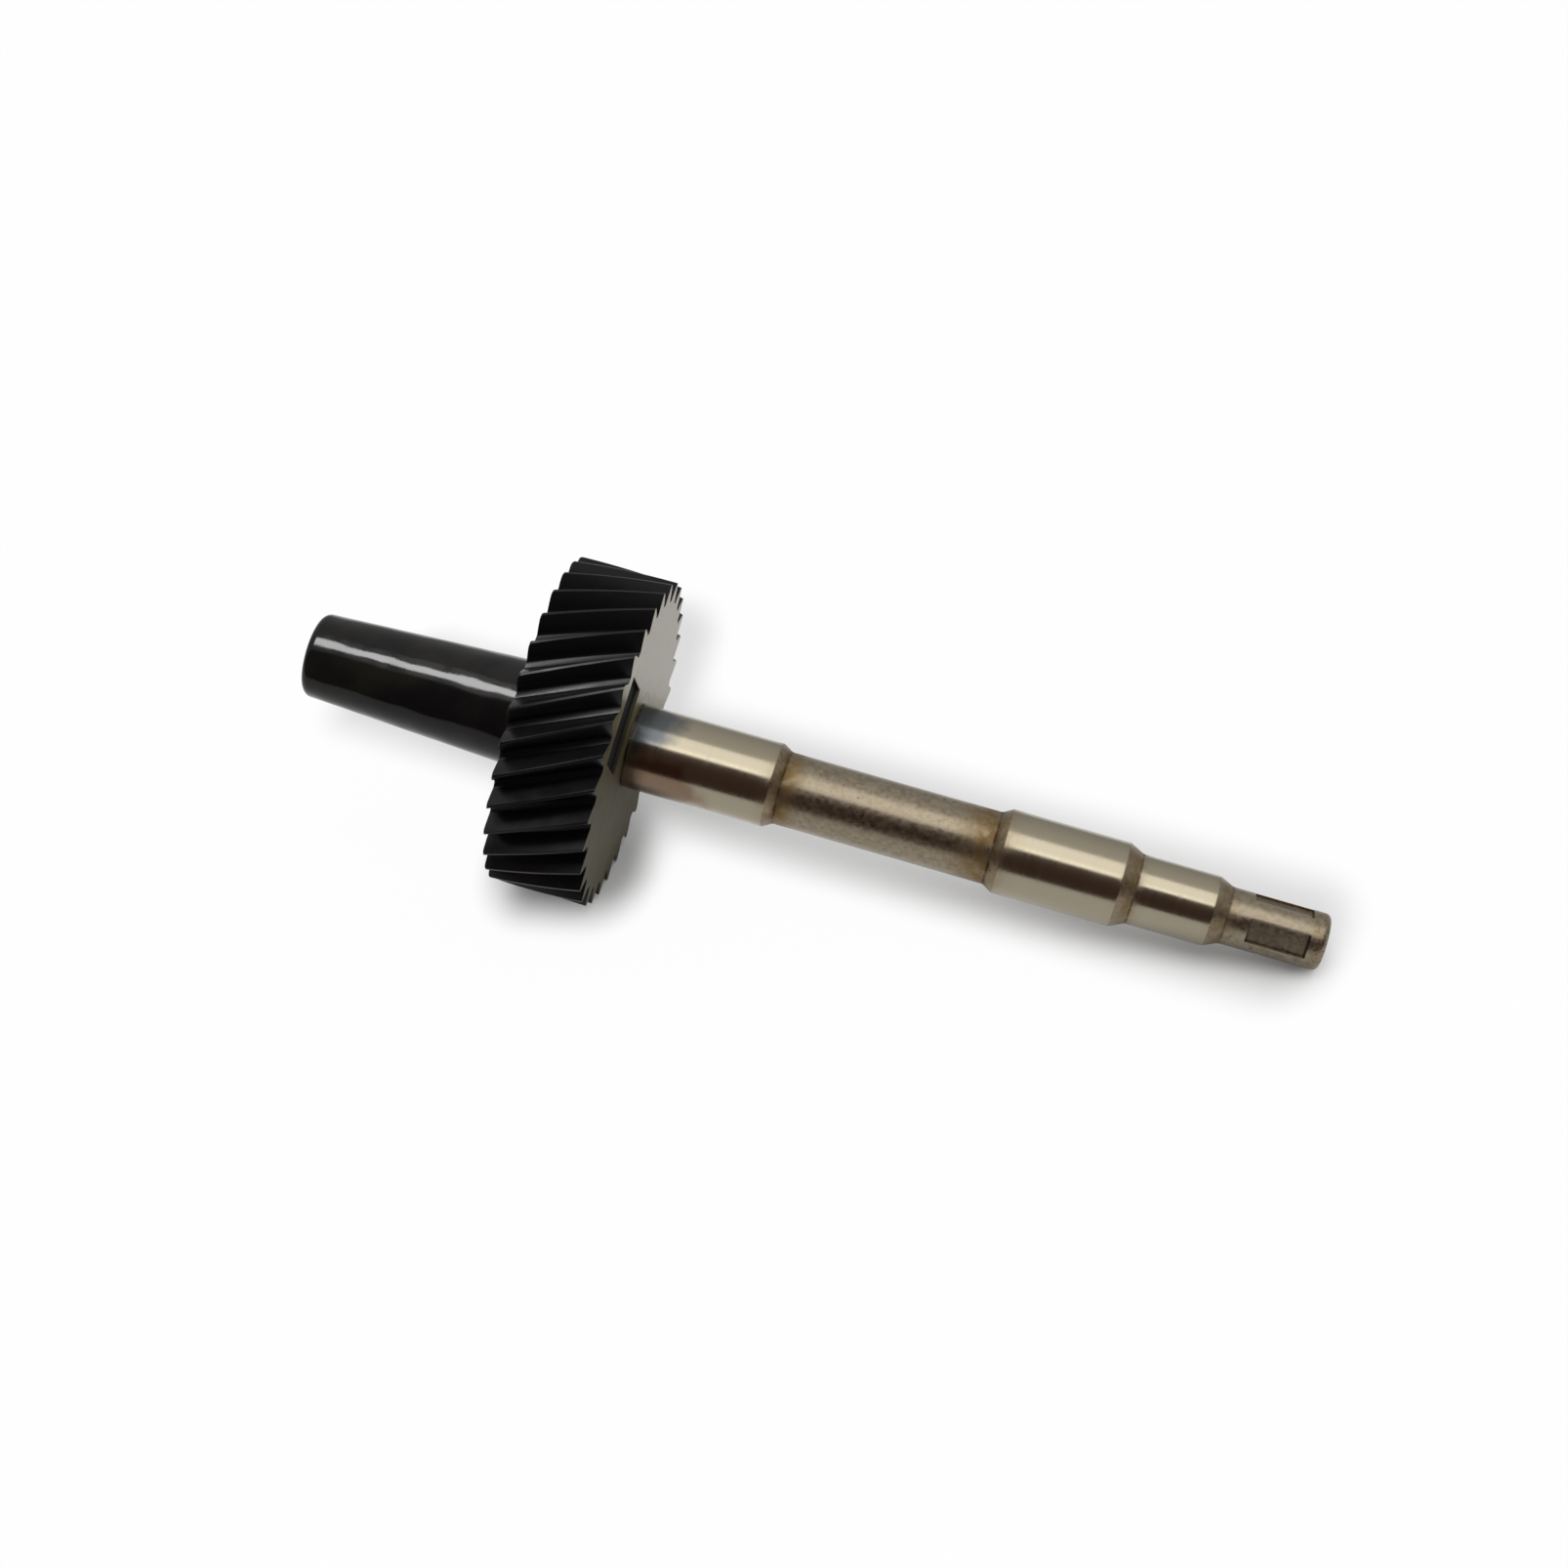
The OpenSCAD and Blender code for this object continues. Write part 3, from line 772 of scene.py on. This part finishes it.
def moulded_acetal(finish):
    """Black acetal, injection moulded: the polished tool gives the tail a wet gloss with slow flow waves, the
    cut tool leaves the teeth and the rear face satin, and a dusty film dulls the flat front face, with a
    painted sheen that lightens it at a flat angle and towards the top."""
    material, tree, output = empty_material("moulded_acetal")
    place = along_axis(tree)
    flank = add_node(tree, "ShaderNodeAttribute", {"attribute_name": "flank"}).outputs["Fac"]
    tail = add_node(tree, "ShaderNodeAttribute", {"attribute_name": "tail"}).outputs["Fac"]
    face = add_node(tree, "ShaderNodeAttribute", {"attribute_name": "face"}).outputs["Fac"]
    dust_and_sheen = add_node(tree, "ShaderNodeAttribute", {"attribute_name": "film_and_sheen"}).outputs["Fac"]
    # Cloudy patches in the tail's skin, about 7 mm across
    clouds = add_node(tree, "ShaderNodeTexNoise", {}, {"Vector": place, "Scale": per_metre(7), "Detail": 2.0})
    haze = add_node(tree, "ShaderNodeMapRange", {"interpolation_type": "SMOOTHSTEP"}, {
        "Value": clouds, "From Min": 0.4, "From Max": 0.7, "To Max": 0.8})
    on_tail = add_node(tree, "ShaderNodeMath", {"operation": "MULTIPLY"}, {0: haze, 1: tail})
    skin = add_node(tree, "ShaderNodeMix", {"data_type": "RGBA"}, {
        "Factor": on_tail, "A": finish.plastic, "B": finish.plastic_haze})
    # Dust and painted sheen on the front face, in smears of about 3 mm
    smears = add_node(tree, "ShaderNodeTexNoise", {}, {"Vector": place, "Scale": per_metre(3), "Detail": 4.0})
    film_and_sheen = add_node(tree, "ShaderNodeMapRange", {"interpolation_type": "SMOOTHSTEP"}, {
        "Value": smears, "From Min": 0.3, "From Max": 0.7, "To Min": 0.72, "To Max": 1.0})
    spread = add_node(tree, "ShaderNodeMath", {"operation": "MULTIPLY"}, {0: film_and_sheen, 1: dust_and_sheen})
    # The painted sheen, mixed into the colour: it hides 1 - exp(-thickness / cosine) of the black, nearly all
    # of it at a flat angle and little from straight on
    flat = add_node(tree, "ShaderNodeLayerWeight", {}, {"Blend": 0.5}).outputs["Facing"]
    cosine = add_node(tree, "ShaderNodeMath", {"operation": "SUBTRACT"}, {0: 1.0, 1: flat})
    steep = add_node(tree, "ShaderNodeMath", {"operation": "MAXIMUM"}, {0: cosine, 1: FLATTEST})
    through = add_node(tree, "ShaderNodeMath", {"operation": "DIVIDE"}, {0: -SHEEN_THICKNESS, 1: steep})
    bare = add_node(tree, "ShaderNodeMath", {"operation": "EXPONENT"}, {0: through})
    hidden = add_node(tree, "ShaderNodeMath", {"operation": "SUBTRACT"}, {0: 1.0, 1: bare})
    on_face = add_node(tree, "ShaderNodeMath", {"operation": "MULTIPLY"}, {0: spread, 1: hidden})
    colour = add_node(tree, "ShaderNodeMix", {"data_type": "RGBA"}, {
        "Factor": on_face, "A": skin, "B": finish.face_dust_and_sheen})
    gloss = add_node(tree, "ShaderNodeMapRange", {}, {
        "Value": smears, "From Min": 0.3, "From Max": 0.7, "To Min": 0.08, "To Max": 0.14})
    satin = add_node(tree, "ShaderNodeMapRange", {}, {
        "Value": smears, "From Min": 0.3, "From Max": 0.7, "To Min": 0.3, "To Max": 0.42})
    moulded = add_node(tree, "ShaderNodeMix", {}, {"Factor": flank, "A": gloss, "B": satin})
    # The front face is dry and dull, and it shines a little more where the dust and painted sheen lie
    dry = add_node(tree, "ShaderNodeMapRange", {}, {"Value": dust_and_sheen, "To Min": 0.8, "To Max": 0.24})
    rough = add_node(tree, "ShaderNodeMix", {}, {"Factor": face, "A": moulded, "B": dry})
    # Flow waves about 5 mm long on the tail, and the fine grain of a spark-cut tool everywhere
    flow = add_node(tree, "ShaderNodeTexNoise", {}, {"Vector": place, "Scale": per_metre(5), "Detail": 1.0})
    wave = add_node(tree, "ShaderNodeBump", {}, {"Strength": tail, "Distance": 0.2 * MM, "Height": flow})
    spark = add_node(tree, "ShaderNodeTexNoise", {}, {
        "Vector": place, "Scale": per_metre(0.35), "Detail": 2.0})
    grain = add_node(tree, "ShaderNodeBump", {}, {"Strength": 1.0, "Distance": 0.004 * MM, "Height": spark,
                                                  "Normal": wave})
    shader = add_node(tree, "ShaderNodeBsdfPrincipled", {}, {
        "Base Color": colour, "Roughness": rough, "IOR": 1.48, "Specular IOR Level": 0.18, "Normal": grain})
    tree.links.new(shader.outputs[0], output.inputs[0])
    return material


def turned_steel(finish):
    """Free-cutting steel, turned and then ground on the journals: the ground bands mirror their surroundings
    with fine lines round the axis, and the turned waist and cable end are dull, mottled and stained."""
    material, tree, output = empty_material("turned_steel")
    place = along_axis(tree)
    ground = add_node(tree, "ShaderNodeAttribute", {"attribute_name": "ground"}).outputs["Fac"]
    cool_tint_and_shade = add_node(tree, "ShaderNodeAttribute", {"attribute_name": "cool_tint_and_shade"}).outputs["Fac"]
    warm_tint_and_shade = add_node(tree, "ShaderNodeAttribute", {"attribute_name": "warm_tint_and_shade"}).outputs["Fac"]
    stain = add_node(tree, "ShaderNodeAttribute", {"attribute_name": "stain"}).outputs["Fac"]
    rust = add_node(tree, "ShaderNodeAttribute", {"attribute_name": "rust"}).outputs["Fac"]
    pocket_dirt_shade = add_node(tree, "ShaderNodeAttribute", {"attribute_name": "pocket_dirt_shade"}).outputs["Fac"]

    # Heat tints on the inner journal, darkened as painted shade of the gear, with tide marks that wander by
    # about 5 mm
    tide = add_node(tree, "ShaderNodeTexNoise", {}, {"Vector": place, "Scale": per_metre(5), "Detail": 2.0})
    bright = finish.steel
    for here, tint_and_shade in ((warm_tint_and_shade, finish.steel_rose_and_shade), (cool_tint_and_shade, finish.steel_blue_and_shade)):
        level = add_node(tree, "ShaderNodeMath", {"operation": "ADD"}, {0: here, 1: tide})
        spread = add_node(tree, "ShaderNodeMapRange", {"interpolation_type": "SMOOTHSTEP"}, {
            "Value": level, "From Min": 0.85, "From Max": 1.25, "To Max": 0.95})
        bright = add_node(tree, "ShaderNodeMix", {"data_type": "RGBA"}, {
            "Factor": spread, "A": bright, "B": tint_and_shade})

    # Mottle of the turned skin, about 0.7 mm, with clusters of small pits
    mottle = add_node(tree, "ShaderNodeTexNoise", {}, {
        "Vector": place, "Scale": per_metre(0.7), "Detail": 4.0})
    mottled = add_node(tree, "ShaderNodeMapRange", {}, {"Value": mottle, "From Min": 0.35, "From Max": 0.65})
    turned_skin = add_node(tree, "ShaderNodeMix", {"data_type": "RGBA"}, {
        "Factor": mottled, "A": finish.turned_dark, "B": finish.turned})
    specks = add_node(tree, "ShaderNodeTexNoise", {}, {
        "Vector": place, "Scale": per_metre(0.4), "Detail": 2.0})
    clusters = add_node(tree, "ShaderNodeTexNoise", {}, {
        "Vector": place, "Scale": per_metre(6), "Detail": 2.0})
    crowded = add_node(tree, "ShaderNodeMapRange", {}, {
        "Value": clusters, "From Min": 0.4, "From Max": 0.65, "To Min": 0.76, "To Max": 0.58})
    deeper = add_node(tree, "ShaderNodeMath", {"operation": "SUBTRACT"}, {0: specks, 1: crowded})
    pits = add_node(tree, "ShaderNodeMapRange", {"interpolation_type": "SMOOTHSTEP"}, {
        "Value": deeper, "From Min": 0.0, "From Max": 0.1, "To Max": 0.8})
    dull = add_node(tree, "ShaderNodeMix", {"data_type": "RGBA"}, {
        "Factor": pits, "A": turned_skin, "B": finish.pit})
    clean = add_node(tree, "ShaderNodeMix", {"data_type": "RGBA"}, {"Factor": ground, "A": dull, "B": bright})

    # Stains creep out of the corners with ragged edges of about 1.6 mm
    ragged = add_node(tree, "ShaderNodeTexNoise", {}, {
        "Vector": place, "Scale": per_metre(1.6), "Detail": 5.0})
    patch = add_node(tree, "ShaderNodeMapRange", {"interpolation_type": "SMOOTHSTEP"}, {
        "Value": ragged, "From Min": 0.32, "From Max": 0.62, "To Min": 0.4, "To Max": 1.0})
    stained = add_node(tree, "ShaderNodeMath", {"operation": "MULTIPLY", "use_clamp": True}, {
        0: stain, 1: patch})
    rusted = add_node(tree, "ShaderNodeMath", {"operation": "MULTIPLY", "use_clamp": True}, {
        0: rust, 1: patch})
    yellowed = add_node(tree, "ShaderNodeMix", {"data_type": "RGBA"}, {
        "Factor": stained, "A": clean, "B": finish.stain})
    rusty = add_node(tree, "ShaderNodeMix", {"data_type": "RGBA"}, {
        "Factor": rusted, "A": yellowed, "B": finish.rust})
    # Oily dirt and painted shade lie in the pocket, darkest on its walls, in the same ragged patches
    dirt_and_shade_share = add_node(tree, "ShaderNodeMath", {"operation": "MULTIPLY"}, {0: pocket_dirt_shade, 1: patch})
    metal = add_node(tree, "ShaderNodeMix", {"data_type": "RGBA"}, {
        "Factor": dirt_and_shade_share, "A": rusty, "B": finish.dirt_shade_colour})

    # Grinding lines are drawn as coarse as the render can show, 0.16 mm apart and long round the axis
    around = add_node(tree, "ShaderNodeMapping", {}, {"Vector": place, "Scale": (1.0, 0.016, 0.016)})
    lines = add_node(tree, "ShaderNodeTexNoise", {}, {
        "Vector": around, "Scale": per_metre(0.16), "Detail": 2.0})
    mirror = add_node(tree, "ShaderNodeMapRange", {}, {
        "Value": lines, "From Min": 0.3, "From Max": 0.7, "To Min": 0.16, "To Max": 0.24})
    matte = add_node(tree, "ShaderNodeMapRange", {}, {
        "Value": mottle, "From Min": 0.3, "From Max": 0.7, "To Min": 0.27, "To Max": 0.39})
    finish_rough = add_node(tree, "ShaderNodeMix", {}, {"Factor": ground, "A": matte, "B": mirror})
    tarnish = add_node(tree, "ShaderNodeMath", {"operation": "ADD", "use_clamp": True}, {
        0: stained, 1: rusted})
    rough = add_node(tree, "ShaderNodeMix", {}, {"Factor": tarnish, "A": finish_rough, "B": 0.55})
    line_bump = add_node(tree, "ShaderNodeBump", {}, {
        "Strength": ground, "Distance": 0.0008 * MM, "Height": lines})
    bare = add_node(tree, "ShaderNodeMath", {"operation": "SUBTRACT"}, {0: 1.0, 1: ground})
    bump = add_node(tree, "ShaderNodeBump", {}, {"Strength": bare, "Distance": 0.012 * MM, "Height": mottle,
                                                 "Normal": line_bump})
    shader = add_node(tree, "ShaderNodeBsdfPrincipled", {}, {
        "Base Color": metal, "Metallic": 1.0, "Roughness": rough, "Normal": bump})
    tree.links.new(shader.outputs[0], output.inputs[0])
    return material


# Zones where the grey paper shows round the part as a painted shadow, with its real shade, one along the
# shaft and one beside the gear: middle in millimetres, turn in degrees, and half the length and width in
# millimetres
SHADE_ZONES = (((-5, 22.5), -13.8, (74, 2)), ((-39, 30), 6.2, (4, 30)))
# Lengths along the part count this much more than lengths across it
SHADE_STRETCH = 1.7
SHADE_BLEND = 10 * MM


def pale_paper(studio):
    """Matte grey paper of the floor. Near the part its grey shows as a painted shadow with its real shade;
    the camera, a gloss or glass sees it turn to plain white away from the part.

    A point's distance from a zone is the length of max(|p| - half, 0), with p measured from its middle.
    """
    material, tree, output = empty_material("pale_paper")
    place = add_node(tree, "ShaderNodeTexCoord").outputs["Object"]
    reaches = []
    for middle, turn, half in SHADE_ZONES:
        local = add_node(tree, "ShaderNodeMapping", {"vector_type": "TEXTURE"}, {
            "Vector": place, "Location": (middle[0] * MM, middle[1] * MM, 0),
            "Rotation": (0, 0, math.radians(turn)), "Scale": (1 / SHADE_STRETCH, 1, 1)})
        folded = add_node(tree, "ShaderNodeVectorMath", {"operation": "ABSOLUTE"}, {0: local})
        past = add_node(tree, "ShaderNodeVectorMath", {"operation": "SUBTRACT"}, {
            0: folded, 1: (half[0] * SHADE_STRETCH * MM, half[1] * MM, 0)})
        outside = add_node(tree, "ShaderNodeVectorMath", {"operation": "MAXIMUM"}, {0: past, 1: (0, 0, 0)})
        reaches.append(add_node(tree, "ShaderNodeVectorMath", {"operation": "LENGTH"}, {0: outside}))
    nearest = add_node(tree, "ShaderNodeMath", {"operation": "SMOOTH_MIN"}, {
        0: reaches[0], 1: reaches[1], 2: SHADE_BLEND})
    beyond = add_node(tree, "ShaderNodeMapRange", {"interpolation_type": "SMOOTHSTEP"}, {
        "Value": nearest, "From Min": studio.shade_start, "From Max": studio.shade_end, "To Min": 0.04,
        "To Max": 0.97})
    paper = add_node(tree, "ShaderNodeBsdfDiffuse", {}, {"Color": studio.floor})
    white = add_node(tree, "ShaderNodeEmission", {}, {"Color": linear("#FFFFFF"), "Strength": 1.0})
    ray = add_node(tree, "ShaderNodeLightPath")
    glossy = add_node(tree, "ShaderNodeMath", {"operation": "MAXIMUM"}, {
        0: ray.outputs["Is Camera Ray"], 1: ray.outputs["Is Glossy Ray"]})
    seen = add_node(tree, "ShaderNodeMath", {"operation": "MAXIMUM"}, {
        0: glossy, 1: ray.outputs["Is Transmission Ray"]})
    share = add_node(tree, "ShaderNodeMath", {"operation": "MULTIPLY"}, {0: seen, 1: beyond})
    mix = add_node(tree, "ShaderNodeMixShader", {}, {0: share, 1: paper, 2: white})
    tree.links.new(mix.outputs[0], output.inputs[0])
    return material


def dark_felt(colour):
    """Dark felt of the card that stands before the part: the ground steel mirrors it as its dark band."""
    material, tree, output = empty_material("dark_felt")
    felt = add_node(tree, "ShaderNodeBsdfDiffuse", {}, {"Color": colour})
    tree.links.new(felt.outputs[0], output.inputs[0])
    return material


# Operators

class MakeGear(bpy.types.Operator):
    """Builds the moulded gear with its tail and gives it its plastic"""

    bl_idname = "driven_gear.make_gear"
    bl_label = "Moulded gear"

    def execute(self, context):
        scene = context.scene
        piece = build_gear(scene.gear_sizes, scene.shaft_sizes)
        piece.data.materials.append(moulded_acetal(scene.finishes))
        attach(piece, "root")
        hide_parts("driven_gear")
        return {"FINISHED"}


class MakeShaft(bpy.types.Operator):
    """Builds the turned and ground shaft with its crimped cable end and gives it its steel"""

    bl_idname = "driven_gear.make_shaft"
    bl_label = "Steel shaft"

    def execute(self, context):
        scene = context.scene
        piece = build_shaft(scene.shaft_sizes)
        piece.data.materials.append(turned_steel(scene.finishes))
        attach(piece, "root")
        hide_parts("steel_shaft")
        return {"FINISHED"}


class MakeStudio(bpy.types.Operator):
    """Lays the floor, stands the dark card, hangs the lamps and places the camera"""

    bl_idname = "driven_gear.make_studio"
    bl_label = "Studio"

    def execute(self, context):
        scene = context.scene
        studio = scene.studio
        angles = np.linspace(0, 2 * math.pi, 128, endpoint=False)
        rim = np.stack([np.cos(angles), np.sin(angles), 0 * angles], 1) * studio.floor_radius
        lay_sheet(scene, "floor", rim, pale_paper(studio))
        stand_card(scene, studio)
        light_studio(scene, studio)
        place_camera(scene, studio)
        scene.view_settings.view_transform = "Standard"
        return {"FINISHED"}


def lay_sheet(scene, name, corners, material):
    """A flat sheet of the studio with the given corners."""
    mesh = bpy.data.meshes.new(name)
    mesh.from_pydata(np.asarray(corners).tolist(), [], [list(range(len(corners)))])
    mesh.materials.append(material)
    sheet = bpy.data.objects.new(name, mesh)
    scene.collection.objects.link(sheet)
    return sheet


def stand_card(scene, studio):
    """Dark card on the camera's side, from a line on the floor up and away to the softbox. Only gloss sees
    it, so it neither shades the part nor stands in the view."""
    half = studio.card_length / 2
    foot, top = -studio.card_front, -studio.card_front - studio.card_lean
    card = lay_sheet(scene, "card", [(-half, foot, MM), (half, foot, MM), (half, top, studio.card_height),
                                     (-half, top, studio.card_height)], dark_felt(studio.card))
    card.visible_camera = card.visible_diffuse = card.visible_shadow = card.visible_transmission = False


def place_camera(scene, studio):
    """Camera at the aim less its view times the distance.

    The view is (sin heading cos elevation, cos heading cos elevation, -sin elevation), and the camera is
    then rolled about it.
    """
    ahead = Vector((math.sin(studio.heading) * math.cos(studio.elevation),
                    math.cos(studio.heading) * math.cos(studio.elevation), -math.sin(studio.elevation)))
    level = Vector((math.cos(studio.heading), -math.sin(studio.heading), 0))
    right = level * math.cos(studio.roll) + level.cross(ahead) * math.sin(studio.roll)
    upward = right.cross(ahead)
    camera = bpy.data.objects.new("camera", bpy.data.cameras.new("camera"))
    camera.data.lens = studio.lens
    camera.matrix_world = Matrix.Translation(Vector(studio.aim) - ahead * studio.distance) @ Matrix(
        (right, upward, -ahead)).transposed().to_4x4()
    scene.collection.objects.link(camera)
    scene.camera = camera


def hang_lamp(scene, name, aim, elevation, distance, size, radiance):
    """Area lamp whose long side is parallel to the shaft.

    It stands at the aim plus the distance along a direction square to the shaft, at the elevation above the
    camera's side, and faces back. Its power is radiance times pi times its area.
    """
    axis = Vector(JOURNAL["axis"])
    outward = Vector((0, -1, 0)) * math.cos(elevation) + axis.cross(Vector((0, 1, 0))) * math.sin(elevation)
    lamp = bpy.data.lights.new(name, "AREA")
    lamp.shape = "RECTANGLE"
    lamp.size, lamp.size_y = size
    lamp.energy = radiance * math.pi * lamp.size * lamp.size_y
    hung = bpy.data.objects.new(name, lamp)
    hung.matrix_world = Matrix.Translation(aim + outward * distance) @ Matrix(
        (axis, outward.cross(axis), outward)).transposed().to_4x4()
    scene.collection.objects.link(hung)
    return hung


def light_only(lamp, piece):
    """Lets a lamp light one piece and nothing else."""
    lit = bpy.data.collections.new(lamp.name + "_lights")
    lit.objects.link(piece)
    lamp.light_linking.receiver_collection = lit


def light_studio(scene, studio):
    """One wide softbox overhead with a brighter lower edge that the steel mirrors, a strip that only the
    gloss of the plastic needs, and a pale surround that is brighter overhead than at the horizon."""
    aim = Vector(studio.aim)
    edge = hang_lamp(scene, "softbox_edge", aim, studio.edge_elevation, studio.softbox_distance,
                     (studio.softbox_length, studio.edge_width), studio.edge_radiance)
    light_only(edge, bpy.data.objects["ground_shaft"])
    hang_lamp(scene, "softbox", aim, studio.softbox_elevation, studio.softbox_distance,
              (studio.softbox_length, studio.softbox_width), studio.softbox_radiance)
    beside = aim - Vector(JOURNAL["axis"]) * studio.strip_aside
    strip = hang_lamp(scene, "strip", beside, studio.strip_elevation, studio.strip_distance,
                      (studio.strip_length, studio.strip_width), studio.strip_radiance)
    light_only(strip, bpy.data.objects["moulded_gear"])

    world = bpy.data.worlds.new("surround")
    world.use_nodes = True
    tree = world.node_tree
    tree.nodes.clear()
    direction = add_node(tree, "ShaderNodeTexCoord").outputs["Generated"]
    height = add_node(tree, "ShaderNodeSeparateXYZ", {}, {0: direction}).outputs["Z"]
    strength = add_node(tree, "ShaderNodeMapRange", {}, {
        "Value": height, "To Min": studio.sky_low, "To Max": studio.sky_high})
    background = add_node(tree, "ShaderNodeBackground", {}, {
        "Color": linear("#FFFFFF"), "Strength": strength})
    add_node(tree, "ShaderNodeOutputWorld", {}, {"Surface": background})
    scene.world = world


class DrivenGearPanel(bpy.types.Panel):
    """Lists the sizes, the finishes and the steps"""

    bl_idname = "VIEW3D_PT_driven_gear"
    bl_label = "Driven gear"
    bl_space_type = "VIEW_3D"
    bl_region_type = "UI"
    bl_category = "Driven gear"

    def draw(self, context):
        for operator in OPERATORS:
            self.layout.operator(operator.bl_idname)
        for group in (context.scene.gear_sizes, context.scene.shaft_sizes, context.scene.finishes,
                      context.scene.studio):
            box = self.layout.box()
            for name in group.bl_rna.properties.keys():
                if name not in ("rna_type", "name"):
                    box.prop(group, name)


GROUPS = {"gear_sizes": GearSizes, "shaft_sizes": ShaftSizes, "finishes": Finishes, "studio": Studio}
OPERATORS = (MakeGear, MakeShaft, MakeStudio)


def register():
    for cls in (*GROUPS.values(), *OPERATORS, DrivenGearPanel):
        bpy.utils.register_class(cls)
    for name, group in GROUPS.items():
        setattr(bpy.types.Scene, name, PointerProperty(type=group))


def unregister():
    for name in GROUPS:
        delattr(bpy.types.Scene, name)
    for cls in (DrivenGearPanel, *OPERATORS, *GROUPS.values()):
        bpy.utils.unregister_class(cls)


def main():
    register()
    bpy.ops.driven_gear.make_gear()
    bpy.ops.driven_gear.make_shaft()
    bpy.ops.driven_gear.make_studio()


if __name__ == "__main__":
    main()
